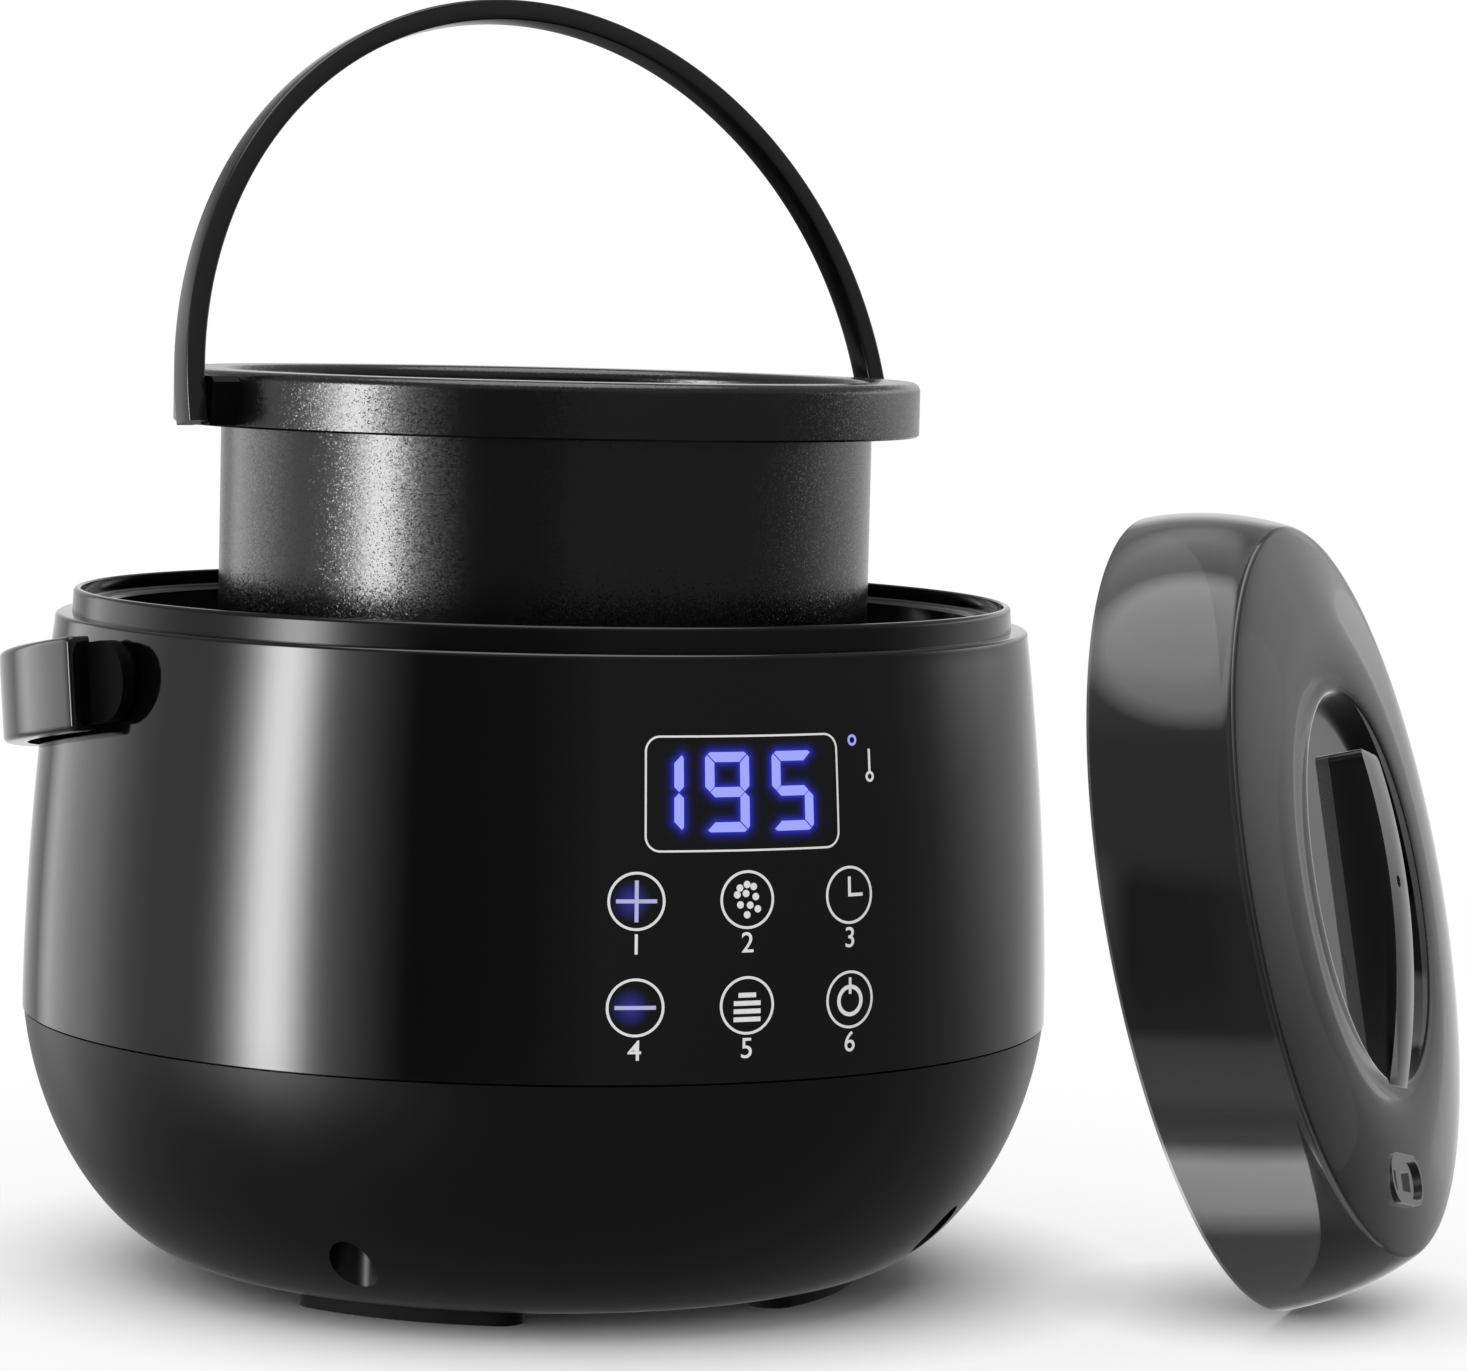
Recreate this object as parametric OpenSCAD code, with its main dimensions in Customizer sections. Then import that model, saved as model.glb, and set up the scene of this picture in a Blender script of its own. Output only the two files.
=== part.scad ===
// Candle wax melter: a round heated body with a drop-in pot, a carry handle and a lid.
// Millimetres. Origin on the table under the middle of the body, +Z up, X along the handle pivots.

/* [Body] */
// Outer radius of the body at the seam between the two shells
body_r = 99.5; // [90:0.5:110]
// Height of the seam between the two shells
seam_z = 50.6; // [46:0.2:56]
// Outer radius of the upper shell just under its shoulder
shoulder_r = 94.4; // [92:0.2:98]
// Height of the top of the ring
rim_z = 131.5; // [128:0.5:140]
// Outer radius of the ring where it meets the shell
ring_r = 91; // [90.4:0.1:91.6]
// Wall thickness of both shells
shell_wall = 2.5; // [2:0.1:3]
// Turn of the control panel and the base about the upright axis
panel_turn = -12.1; // [-20:0.1:20]

/* [Pot] */
// Outer radius of the pot wall
pot_r = 63; // [60:0.2:64]
// Height of the pot from its floor to the top of its rim
pot_h = 94.8; // [88:0.2:98]
// Outer radius of the pot's turned-down rim
skirt_r = 72.2; // [70:0.2:73]
// Height of the turned-down rim
skirt_h = 10.5; // [8:0.5:12]
// Sheet thickness of the pot
pot_wall = 1.5; // [1.2:0.1:2]
// How far the pot is held up above its seat
pot_raise = 43.8; // [20:0.2:50]
// Radial clearance between pot and heat chamber
pot_gap = 0.6; // [0.4:0.1:0.8]

/* [Bail] */
// Outer radius of the pot's bail
bail_r = 82.2; // [80:0.2:83]
// Backward lean of the bail
bail_lean = 12; // [5:1:20]
// Width of the bail strip
bail_w = 5.6; // [4.6:0.1:6]
// Thickness of the bail strip
bail_t = 4; // [3.4:0.1:4.2]

/* [Carry handle] */
// Outer radius of the carry handle
grip_r = 103.3; // [102.6:0.1:106]
// Height of the carry handle band
grip_h = 17.5; // [14:0.5:19]
// Angle by which the folded handle hangs below level
grip_droop = 8; // [7:0.5:10]
// Height of the handle pivots
pivot_z = 117; // [114:0.5:118]

/* [Lid] */
// Outer radius of the lid's open rim
lid_r = 76.9; // [74:0.1:80]
// Height of the lid's shoulder above its open rim
lid_h = 25.6; // [22:0.2:32]
// Radius of the finger dish in the lid
dish_r = 37.8; // [34:0.2:40]
// Width of the finger bar across the dish
bar_w = 11; // [8:0.5:13]
// Reach of the finger bar above the lid's middle
bar_end = 25.5; // [20:0.5:28]
// Radius of the finger bar's arched top
bar_arch = 196; // [180:1:220]

/* [Feet] */
// Height of the feet
foot_h = 3; // [2:0.5:5]

/* [Hidden] */
$fn = 96;

GLOSS = [0.03, 0.03, 0.035];
SATIN = [0.07, 0.07, 0.075];
METAL = [0.72, 0.72, 0.74];
STEEL = [0.55, 0.55, 0.57];
BOARD = [0.05, 0.3, 0.14];

e = 0.02;
shell_top = rim_z - 4.7;
deck_z = rim_z - 11.5;
deck_t = 2.6;
well_r = ring_r - 5.6;
chamber_r = pot_r + pot_gap;
plate_top = deck_z - 84.5;
plate_t = 5;
pot_z = plate_top + 0.2 + pot_raise;
pot_top = pot_z + pot_h;
bail_z = pot_top - 5.5;
bail_drop = 3;
screw_ring = 83.2;
core_in = grip_r - 5.3;
stud_in = 89.2;
panel_r = 83.6;
lid_az = 32.9;
lid_up = 13;
lid_roll = -12.2;
vent_at = 56;
lid_pos = [95.0, -94.4, lid_r * cos(lid_up)];

// Point on a cubic curve through four handles.
function bez(p, t) = pow(1 - t, 3) * p[0] + 3 * t * pow(1 - t, 2) * p[1]
    + 3 * t * t * (1 - t) * p[2] + t * t * t * p[3];
function curve(p, n) = [for (i = [0:n]) bez(p, i / n)];
function shift(pts, d) = [for (p = pts) [p[0] + d, p[1]]];
function rev(v) = [for (i = [len(v) - 1:-1:0]) v[i]];
function arc(c, r, a0, a1, n) = [for (i = [0:n]) let (a = a0 + (a1 - a0) * i / n)
    c + r * [cos(a), sin(a)]];

upper_line = curve([[body_r, seam_z], [body_r, seam_z + 24.3],
    [shoulder_r + 2.6, shell_top - 21.8], [shoulder_r, shell_top - 2.4]], 14);
lower_line = curve([[65, foot_h], [80, foot_h + 0.2], [body_r - 3, seam_z - 25.6],
    [body_r - 0.3, seam_z - 0.4]], 14);

module upper_solid(inset) {
    rotate_extrude() polygon(concat([[0, seam_z]], shift(upper_line, -inset), [[0, shell_top - 2.4]]));
}
module lower_solid(inset) {
    rotate_extrude() polygon(concat([[0, foot_h]], shift(lower_line, -inset), [[0, seam_z - 0.4]]));
}
module at_ring(r, angles) {
    for (a = angles) rotate([0, 0, panel_turn + a]) translate([0, -r, 0]) children();
}
corners = [45, 135, 225, 315];

module upper_shell() {
    color(GLOSS) difference() {
        union() {
            rotate_extrude() polygon(concat(upper_line,
                arc([shoulder_r - 2.2, shell_top - 2.2], 2.2, 10, 90, 5),
                [[ring_r - 3.05, shell_top], [ring_r - 3.05, shell_top - 2],
                 [shoulder_r - shell_wall, shell_top - 2.4]],
                rev(shift(upper_line, -shell_wall))));
            intersection() {
                union() {
                    for (s = [-1, 1]) translate([s * 91, 0, pivot_z]) rotate([0, s * 90, 0])
                        cylinder(r = 8.6, h = 8);
                    rotate([0, 0, panel_turn]) for (x = [-26, 26], z = [seam_z + 23.2, seam_z + 57.4])
                        translate([x, -panel_r, z]) rotate([90, 0, 0]) cylinder(r = 3.2, h = 13, $fn = 32);
                }
                upper_solid(1);
            }
        }
        for (s = [-1, 1]) translate([s * 80, 0, pivot_z]) rotate([0, s * 90, 0])
            cylinder(r = 7, h = 30);
        rotate([0, 0, panel_turn]) for (x = [-26, 26], z = [seam_z + 23.2, seam_z + 57.4])
            translate([x, -panel_r + 1, z]) rotate([90, 0, 0]) cylinder(r = 1.3, h = 8, $fn = 24);
    }
}

module lower_shell() {
    color(SATIN) difference() {
        union() {
            difference() {
                lower_solid(0);
                rotate_extrude() polygon(concat([[0, foot_h + shell_wall], [64, foot_h + shell_wall]],
                    [for (p = shift(lower_line, -shell_wall)) if (p[0] > 64 && p[1] > foot_h + shell_wall + 0.3) p],
                    [[body_r - 0.3 - shell_wall, seam_z], [0, seam_z]]));
            }
            // locating lip inside the upper shell
            rotate_extrude() polygon([[body_r - 5.2, seam_z - 3], [body_r - 2.7, seam_z - 3],
                [body_r - 2.7, seam_z + 3.4], [body_r - 5.2, seam_z + 3.4]]);
            intersection() {
                union() {
                    at_ring(screw_ring, corners) translate([0, 0, foot_h]) cylinder(r = 6.4, h = seam_z - foot_h - 5);
                    for (x = [-27, 27], y = [-9, 25]) translate([x, y, foot_h + 1])
                        cylinder(r = 3.4, h = 8, $fn = 32);
                }
                lower_solid(0.6);
            }
        }
        at_ring(screw_ring, corners) {
            translate([0, 0, -1]) cylinder(r = 4.4, h = 25);
            translate([0, 0, 20]) cylinder(r = 1.7, h = 40, $fn = 32);
        }
        for (i = [-4:4]) translate([i * 7 - 1.5, -44, foot_h - 1]) cube([3, 24, 5]);
        for (i = [-4:4]) translate([i * 7 - 1.5, 34, foot_h - 1]) cube([3, 18, 5]);
        translate([-13.05, 66, 22]) cube([26.1, 40, 17.1]);
    }
}

module top_ring() {
    color(SATIN) difference() {
        union() {
            rotate_extrude() polygon(concat(
                [[ring_r, shell_top + e], [ring_r - 0.2, rim_z - 2.4]],
                arc([ring_r - 2.6, rim_z - 2], 2, 30, 90, 5),
                [[well_r + 1.2, rim_z], [well_r + 0.8, rim_z - 0.4], [well_r + 0.8, rim_z - 2],
                 [well_r, rim_z - 2.2], [well_r, deck_z + 2]],
                arc([well_r - 2, deck_z + 2], 2, -10, -90, 4),
                [[chamber_r + 0.1, deck_z], [chamber_r + 0.1, deck_z - deck_t],
                 [ring_r - 3.1, deck_z - deck_t], [ring_r - 3.1, shell_top + e]]));
            at_ring(screw_ring, corners) translate([0, 0, seam_z - 4.95])
                cylinder(r = 4.4, h = deck_z - seam_z + 3.5);
        }
        at_ring(screw_ring, corners) translate([0, 0, seam_z - 6]) cylinder(r = 1.6, h = 20, $fn = 32);
        for (a = [0, 120, 240]) rotate([0, 0, a]) translate([0, 69.5, deck_z - deck_t - 1])
            cylinder(r = 1.4, h = 3, $fn = 24);
        // room for the heads of the handle's screws
        for (s = [-1, 1]) translate([s * (well_r + 1), 0, pivot_z]) rotate([0, s * 90, 0])
            cylinder(r = 6.4, h = 10, $fn = 48);
    }
}

module heat_chamber() {
    color(METAL) difference() {
        rotate_extrude() polygon([[chamber_r, deck_z - deck_t - e], [73, deck_z - deck_t - e],
            [73, deck_z - deck_t - 0.9], [chamber_r + 0.8, deck_z - deck_t - 0.9],
            [chamber_r + 0.8, plate_top - plate_t - 0.8], [54, plate_top - plate_t - 0.8],
            [54, plate_top - plate_t - e], [chamber_r, plate_top - plate_t - e]]);
        for (a = [0, 120, 240]) rotate([0, 0, a]) translate([0, 69.5, deck_z - deck_t - 2])
            cylinder(r = 1.45, h = 3, $fn = 24);
    }
}

module heater_plate() {
    color(METAL) difference() {
        translate([0, 0, plate_top - plate_t]) cylinder(r = chamber_r - 0.6, h = plate_t);
        translate([0, 0, plate_top - 10]) cylinder(r = 10, h = 12);
        translate([0, 0, plate_top - plate_t]) rotate_extrude() translate([42, 0]) circle(r = 3.42, $fn = 32);
    }
}

module heating_element() {
    color(STEEL) translate([0, 0, plate_top - plate_t]) {
        rotate([0, 0, -70]) rotate_extrude(angle = 320) translate([42, 0]) circle(r = 3.4, $fn = 32);
        for (a = [-70, -110]) rotate([0, 0, a]) translate([42, 0, 0]) {
            translate([0, 0, -9]) cylinder(r = 3.4, h = 9, $fn = 32);
            sphere(r = 3.4, $fn = 32);
            translate([0, 0, -14]) cylinder(r = 1.4, h = 6, $fn = 24);
        }
    }
}

module insulation_sleeve() {
    color([0.86, 0.84, 0.78]) rotate_extrude() polygon([[chamber_r + 0.85, plate_top + 2.5],
        [chamber_r + 4.9, plate_top + 2.5], [chamber_r + 4.9, deck_z - 12], [chamber_r + 0.85, deck_z - 12]]);
}

module temp_sensor() {
    color(STEEL) translate([0, 0, plate_top - plate_t]) {
        translate([0, 0, -1 - e]) cylinder(r = 13, h = 1);
        translate([0, 0, -e]) cylinder(r = 9.9, h = plate_t - 0.1);
        translate([0, 0, -8]) cylinder(r = 5, h = 7.5);
    }
}

module thermal_fuse() {
    color(METAL) translate([0, 25, plate_top - plate_t - 2 - e]) rotate([0, 90, 0]) {
        cylinder(r = 2, h = 12, center = true, $fn = 32);
        cylinder(r = 0.6, h = 34, center = true, $fn = 16);
    }
}

module control_board() {
    color(BOARD) rotate([0, 0, panel_turn]) difference() {
        translate([-30, -panel_r + e, seam_z + 7.4]) cube([60, 1.6, 54]);
        for (x = [-26, 26], z = [seam_z + 23.2, seam_z + 57.4])
            translate([x, -panel_r + 3, z]) rotate([90, 0, 0]) cylinder(r = 1.35, h = 6, $fn = 24);
    }
}

module display_module() {
    color([0.12, 0.12, 0.13]) rotate([0, 0, panel_turn])
        translate([-18.5, -panel_r - 7.4, seam_z + 42.4]) cube([37, 7.4, 18.6]);
}

module touch_pads() {
    color([0.3, 0.3, 0.32]) intersection() {
        rotate([0, 0, panel_turn]) for (x = [-20.9, 0, 20.9], z = [seam_z + 13.8, seam_z + 32.7])
            translate([x, -panel_r, z]) rotate([90, 0, 0]) cylinder(r = 4.2, h = 16, $fn = 40);
        upper_solid(shell_wall + 0.05);
    }
}

module power_board() {
    color(BOARD) {
        translate([-32, -14, foot_h + 9.02]) cube([64, 44, 1.6]);
        translate([16, -4, foot_h + 10.6]) cylinder(r = 6, h = 11, $fn = 48);
    }
}
module transformer() {
    color([0.75, 0.65, 0.3]) translate([-26, 2, foot_h + 10.64]) {
        cube([24, 20, 4]);
        translate([0, 3, 4]) cube([24, 14, 7]);
        translate([5, 0.5, 4]) cube([14, 19, 6]);
    }
}
module relay() {
    color([0.1, 0.3, 0.6]) translate([5, 8, foot_h + 10.64]) cube([19, 15.5, 10]);
}

module power_inlet() {
    color(SATIN) intersection() {
        union() {
            difference() {
                translate([-13, 70, 22.05]) cube([26, 40, 17]);
                translate([-10, 76, 25.8]) cube([20, 40, 9.5]);
            }
            for (x = [-5, 5]) translate([x, 74, 30.55]) rotate([-90, 0, 0]) cylinder(r = 1.2, h = 10, $fn = 24);
            for (x = [-5, 5]) translate([x - 2, 66.5, 30.1]) cube([4, 4.5, 0.8]);
        }
        lower_solid(0.3);
    }
}

module feet() {
    color([0.05, 0.05, 0.05]) rotate([0, 0, panel_turn]) for (a = corners) rotate([0, 0, a - 107]) {
        rotate_extrude(angle = 34) translate([54.5, 0]) square([10, foot_h - e]);
        for (b = [0, 34]) rotate([0, 0, b]) translate([59.5, 0, 0]) cylinder(r = 5, h = foot_h - e, $fn = 48);
    }
}

module base_screws() {
    color(STEEL) at_ring(screw_ring, corners) {
        difference() {
            translate([0, 0, 21.2]) cylinder(r = 3.4, h = 2.8 - e, $fn = 40);
            translate([0, 0, 21]) for (k = [0, 90]) rotate([0, 0, k]) translate([-2, -0.4, 0]) cube([4, 0.8, 1.4]);
        }
        translate([0, 0, 23]) cylinder(r = 1.58, h = seam_z - 15.6, $fn = 32);
    }
}

module chamber_screws() {
    color(STEEL) for (a = [0, 120, 240]) rotate([0, 0, a]) translate([0, 69.5, deck_z - deck_t - 2.4]) {
        cylinder(r = 2.6, h = 1.5 - e, $fn = 32);
        cylinder(r = 1.38, h = 4.2, $fn = 24);
    }
}

module board_screws() {
    color(STEEL) rotate([0, 0, panel_turn]) for (x = [-26, 26], z = [seam_z + 23.2, seam_z + 57.4])
        translate([x, -panel_r + 1.62 + e, z]) {
            rotate([-90, 0, 0]) cylinder(r = 2.5, h = 1.6, $fn = 32);
            rotate([90, 0, 0]) cylinder(r = 1.28, h = 7, $fn = 24);
        }
}

module bush(s) {
    color(SATIN) difference() {
        translate([s * 89.4, 0, pivot_z]) rotate([0, s * 90, 0]) difference() {
            union() {
                cylinder(r = 8.6, h = 1.6 - e);
                cylinder(r = 6.98, h = 7);
            }
            translate([0, 0, -1]) cylinder(r = 4.56, h = 20);
        }
        // flat under the shell's top, which keeps the bush from turning
        translate([s * 92 - 6, -12, shell_top - 2.7]) cube([12, 24, 6]);
    }
}
module bush_left() { bush(-1); }
module bush_right() { bush(1); }

// Everything on the carry handle is drawn level and then tipped by the droop.
module droop() { translate([0, 0, pivot_z]) rotate([-grip_droop, 0, 0]) children(); }

module carry_handle() {
    color(SATIN) droop() difference() {
        union() {
            translate([0, 2.5, 0]) rotate_extrude(angle = 180)
                polygon([[core_in, -grip_h / 2 + 1.6], [core_in + 3.2, -grip_h / 2 + 1.6],
                    [core_in + 3.2, grip_h / 2 - 1.6], [core_in, grip_h / 2 - 1.6]]);
            for (s = [-1, 1]) {
                // round-ended lug beside the shell
                translate([s * 96.75, -2.5, 0]) rotate([0, s * 90, 0]) cylinder(r = 7.5, h = 2.6);
                translate([s * 98.05, 1.6, 0]) cube([2.6, 8, 15], center = true);
                // inward stud that turns in the bush
                translate([s * stud_in, 0, 0]) rotate([0, s * 90, 0]) cylinder(r = 4.5, h = core_in - stud_in);
            }
        }
        for (s = [-1, 1]) translate([s * (stud_in - 1), 0, 0]) rotate([0, s * 90, 0])
            cylinder(r = 1.6, h = 8, $fn = 32);
    }
}

module handle_cover() {
    color(GLOSS) droop() {
        translate([0, 2.5, 0]) rotate_extrude(angle = 180)
            polygon(concat([[core_in + 0.8, -grip_h / 2], [grip_r - 1.2, -grip_h / 2]],
                arc([grip_r - 1.2, -grip_h / 2 + 1.2], 1.2, -60, 0, 3),
                arc([grip_r - 1.2, grip_h / 2 - 1.2], 1.2, 0, 90, 4),
                [[core_in + 0.8, grip_h / 2], [core_in + 0.8, grip_h / 2 - 1.55],
                 [core_in + 3.25, grip_h / 2 - 1.55], [core_in + 3.25, -grip_h / 2 + 1],
                 [core_in + 0.8, -grip_h / 2 + 1]]));
    }
}

module pivot_screws() {
    color(STEEL) droop() for (s = [-1, 1]) translate([s * (stud_in - e), 0, 0]) rotate([0, -s * 90, 0]) {
        cylinder(r = 5.6, h = 0.9, $fn = 48);
        cylinder(r = 2.6, h = 2.2, $fn = 40);
        translate([0, 0, -6]) cylinder(r = 1.58, h = 7, $fn = 32);
    }
}

module pot() {
    lip = pot_top - pot_z;
    color([0.06, 0.06, 0.065]) translate([0, 0, pot_z]) rotate_extrude() polygon(concat(
        [[0, 0]], arc([pot_r - 6, 6], 6, -90, 0, 8),
        [[pot_r, lip - 3.2], [pot_r + 1.2, lip - pot_wall], [skirt_r - pot_wall, lip - pot_wall],
         [skirt_r - pot_wall, lip - skirt_h], [skirt_r, lip - skirt_h]],
        arc([skirt_r - 1.8, lip - 1.8], 1.8, 0, 90, 5),
        [[pot_r + 1, lip]], arc([pot_r + 0.7, lip - 2.2], 2.2, 90, 180, 4),
        [[pot_r - pot_wall, lip - 4]], arc([pot_r - 6, 6], 6 - pot_wall, 0, -90, 8), [[0, pot_wall]]));
}

module bail_ears() {
    color(GLOSS) for (s = [-1, 1]) translate([s * (skirt_r - 3), 0, bail_z]) difference() {
        union() {
            // block over the height of the turned-down rim, narrower at the bottom
            rotate([90, 0, s * 90]) linear_extrude(bail_r - bail_t - 0.6 - (skirt_r - 3))
                polygon([[-2.6, -4.6], [2.6, -4.6], [4.2, 3.6], [3.2, 4.6], [-3.2, 4.6], [-4.2, 3.6]]);
            rotate([0, s * 90, 0]) cylinder(r = 2.2, h = bail_r - 1.2 - (skirt_r - 3), $fn = 40);
        }
        translate([-s * (skirt_r - 3), 0, -20]) cylinder(r = skirt_r + 0.02, h = 40);
    }
}

module bail() {
    color(GLOSS) translate([0, 0, bail_z]) rotate([-bail_lean, 0, 0]) difference() {
        union() {
            translate([0, 0, -bail_drop]) rotate([90, 0, 0]) rotate_extrude(angle = 180)
                polygon([[bail_r - bail_t + 0.6, -bail_w / 2], [bail_r - 0.6, -bail_w / 2],
                    [bail_r, -bail_w / 2 + 0.6], [bail_r, bail_w / 2 - 0.6],
                    [bail_r - 0.6, bail_w / 2], [bail_r - bail_t + 0.6, bail_w / 2],
                    [bail_r - bail_t, bail_w / 2 - 0.6], [bail_r - bail_t, -bail_w / 2 + 0.6]]);
            for (s = [-1, 1]) translate([s * (bail_r - bail_t / 2), 0, -bail_drop - 0.4])
                cube([bail_t, bail_w, 1.6], center = true);
        }
        for (s = [-1, 1]) translate([s * (bail_r - 9), 0, 0]) rotate([0, s * 90, 0])
            cylinder(r = 2.26, h = 8.1, $fn = 40);
    }
}

module lid_place() {
    translate(lid_pos) rotate([0, 0, lid_az]) rotate([90 - lid_up, 0, 0]) rotate([0, 0, lid_roll])
        children();
}

lid_out = concat(curve([[lid_r, 0], [lid_r - 0.2, lid_h * 0.4], [lid_r - 3.4, lid_h * 0.75],
    [lid_r - 6.2, lid_h - 1]], 8), [[lid_r - 7, lid_h]],
    curve([[lid_r - 7.6, lid_h + 0.2], [lid_r - 14, lid_h + 1.8], [dish_r + 14, lid_h + 3.6],
        [dish_r + 6, lid_h + 3.8]], 6),
    curve([[dish_r + 4, lid_h + 3.8], [dish_r + 2, lid_h + 3.8], [dish_r + 0.6, lid_h + 3.7],
        [dish_r, lid_h + 3.3]], 3),
    curve([[dish_r - 0.3, lid_h + 3.1], [dish_r - 7, lid_h + 1], [dish_r * 0.5, lid_h - 2.3],
        [0, lid_h - 2.3]], 8));
lid_in = concat([[lid_r - 2.2, 0]], curve([[lid_r - 2.2, 1], [lid_r - 2.4, lid_h * 0.4],
    [lid_r - 5.4, lid_h * 0.75], [lid_r - 8.6, lid_h - 2.2]], 8),
    curve([[lid_r - 10, lid_h - 1.9], [lid_r - 26, lid_h + 1.4], [dish_r + 14, lid_h + 1.7],
        [dish_r + 4, lid_h + 1.7]], 6),
    curve([[dish_r - 1.4, lid_h + 0.6], [dish_r - 8, lid_h - 1.2], [dish_r * 0.5, lid_h - 4.5],
        [0, lid_h - 4.5]], 8));

module lid() {
    color([0.16, 0.16, 0.17, 0.6]) lid_place() difference() {
        union() {
            rotate_extrude() polygon(concat(lid_out, rev(lid_in)));
            // arched finger bar: free at its upper end, running out into the face at its lower end
            difference() {
                intersection() {
                    translate([0, 0, lid_h - 8]) linear_extrude(20) union() {
                        translate([-bar_w / 2, -bar_end - 22]) square([bar_w, 2 * bar_end + 20.4]);
                        translate([-bar_w / 2 + 1.6, 0]) square([bar_w - 3.2, bar_end]);
                        for (s = [-1, 1]) translate([s * (bar_w / 2 - 1.6), bar_end - 1.6])
                            circle(r = 1.6, $fn = 32);
                    }
                    translate([-20, 0, lid_h + 9.1 - bar_arch]) rotate([0, 90, 0])
                        cylinder(r = bar_arch, h = 40, $fn = 256);
                }
                rotate_extrude() polygon(concat(lid_in, [[0, -1], [lid_r - 2.2, -1]]));
            }
        }
        translate([0, 0, lid_h + 9.6]) sphere(r = 1.4, $fn = 24);
        translate([0, -vent_at, lid_h - 6]) vent_plug(0, 16);
    }
}

// Oblong of the vent, grown all round by d.
module vent_plug(d, h) {
    linear_extrude(h) union() {
        square([12, 9.4 + 2 * d], center = true);
        for (s = [-1, 1]) translate([s * 6, 0]) circle(r = 4.7 + d, $fn = 48);
    }
}

module steam_vent() {
    color(SATIN) lid_place() translate([0, -vent_at, lid_h]) difference() {
        translate([0, 0, -1.5]) vent_plug(-0.06, 4.6);
        translate([0, 0, 1.4]) vent_plug(-1, 4);
        for (x = [-4.6, 4.6]) translate([x - 2.8, -1.9, -3]) cube([5.6, 3.8, 10]);
    }
}

lower_shell();
upper_shell();
top_ring();
heat_chamber();
heater_plate();
heating_element();
insulation_sleeve();
temp_sensor();
thermal_fuse();
control_board();
display_module();
touch_pads();
power_board();
transformer();
relay();
power_inlet();
feet();
base_screws();
chamber_screws();
board_screws();
bush_left();
bush_right();
carry_handle();
handle_cover();
pivot_screws();
pot();
bail_ears();
bail();
lid();
steam_vent();
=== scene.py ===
"""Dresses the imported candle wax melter: smooth shells, coated pot, clear lid, lit panel, studio.

Every size in a class is in millimetres and every mesh is in metres, in the part's own frame.
"""
from __future__ import annotations

import logging
import math
from dataclasses import dataclass, field
from enum import Enum
from typing import Any, Callable, Sequence

import bmesh
import bpy
from mathutils import Matrix, Vector

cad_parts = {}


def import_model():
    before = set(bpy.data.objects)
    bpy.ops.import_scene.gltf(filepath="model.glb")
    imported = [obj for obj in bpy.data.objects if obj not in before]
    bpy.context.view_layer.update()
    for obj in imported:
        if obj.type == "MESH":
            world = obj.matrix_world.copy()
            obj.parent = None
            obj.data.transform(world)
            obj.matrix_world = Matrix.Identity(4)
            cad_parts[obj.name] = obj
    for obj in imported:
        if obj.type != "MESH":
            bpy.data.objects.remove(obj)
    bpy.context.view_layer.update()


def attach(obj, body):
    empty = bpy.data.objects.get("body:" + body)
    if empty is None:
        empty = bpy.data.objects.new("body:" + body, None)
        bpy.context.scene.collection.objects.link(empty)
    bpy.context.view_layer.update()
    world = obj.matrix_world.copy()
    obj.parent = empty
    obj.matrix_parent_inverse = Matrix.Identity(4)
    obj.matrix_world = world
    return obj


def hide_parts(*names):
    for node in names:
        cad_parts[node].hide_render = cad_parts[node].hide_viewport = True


LOG = logging.getLogger("melter")
MM = 0.001
WHITE = (1.0, 1.0, 1.0, 1.0)
Point = tuple[float, float]
Colour = tuple[float, float, float]


# ---------------------------------------------------------------- lines in a plane

def bezier(handles: Sequence[Point], count: int) -> list[Point]:
    """Points along a cubic curve.

    Args:
        handles: The curve's four handles.
        count: How many steps the curve is cut into.

    Returns:
        count + 1 points, both ends among them.
    """
    out = []
    for i in range(count + 1):
        t = i / count
        w = ((1 - t) ** 3, 3 * t * (1 - t) ** 2, 3 * t * t * (1 - t), t ** 3)
        out.append(tuple(sum(k * h[a] for k, h in zip(w, handles)) for a in (0, 1)))
    return out


def arc(centre: Point, radius: float, start: float, end: float, count: int) -> list[Point]:
    """Points along a circular arc.

    Args:
        centre: The arc's centre.
        radius: The arc's radius.
        start: The first angle in degrees.
        end: The last angle in degrees.
        count: How many steps the arc is cut into.

    Returns:
        count + 1 points, both ends among them.
    """
    turns = (math.radians(start + (end - start) * i / count) for i in range(count + 1))
    return [(centre[0] + radius * math.cos(a), centre[1] + radius * math.sin(a)) for a in turns]


def shifted(line: Sequence[Point], by: float) -> list[Point]:
    """The line moved outwards by a distance."""
    return [(r + by, z) for r, z in line]


def radius_at(line: Sequence[Point], z: float) -> float:
    """Radius of a rising line at a height.

    Args:
        line: Radius and height points, from the bottom up.
        z: The height.

    Returns:
        The radius there, or that of the nearer end where the line doesn't reach.
    """
    for (r0, z0), (r1, z1) in zip(line, line[1:]):
        if z0 <= z <= z1:
            return r0 + (r1 - r0) * (z - z0) / max(z1 - z0, 1e-9)
    return line[-1][0] if z > line[-1][1] else line[0][0]


# ---------------------------------------------------------------- node trees

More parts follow.
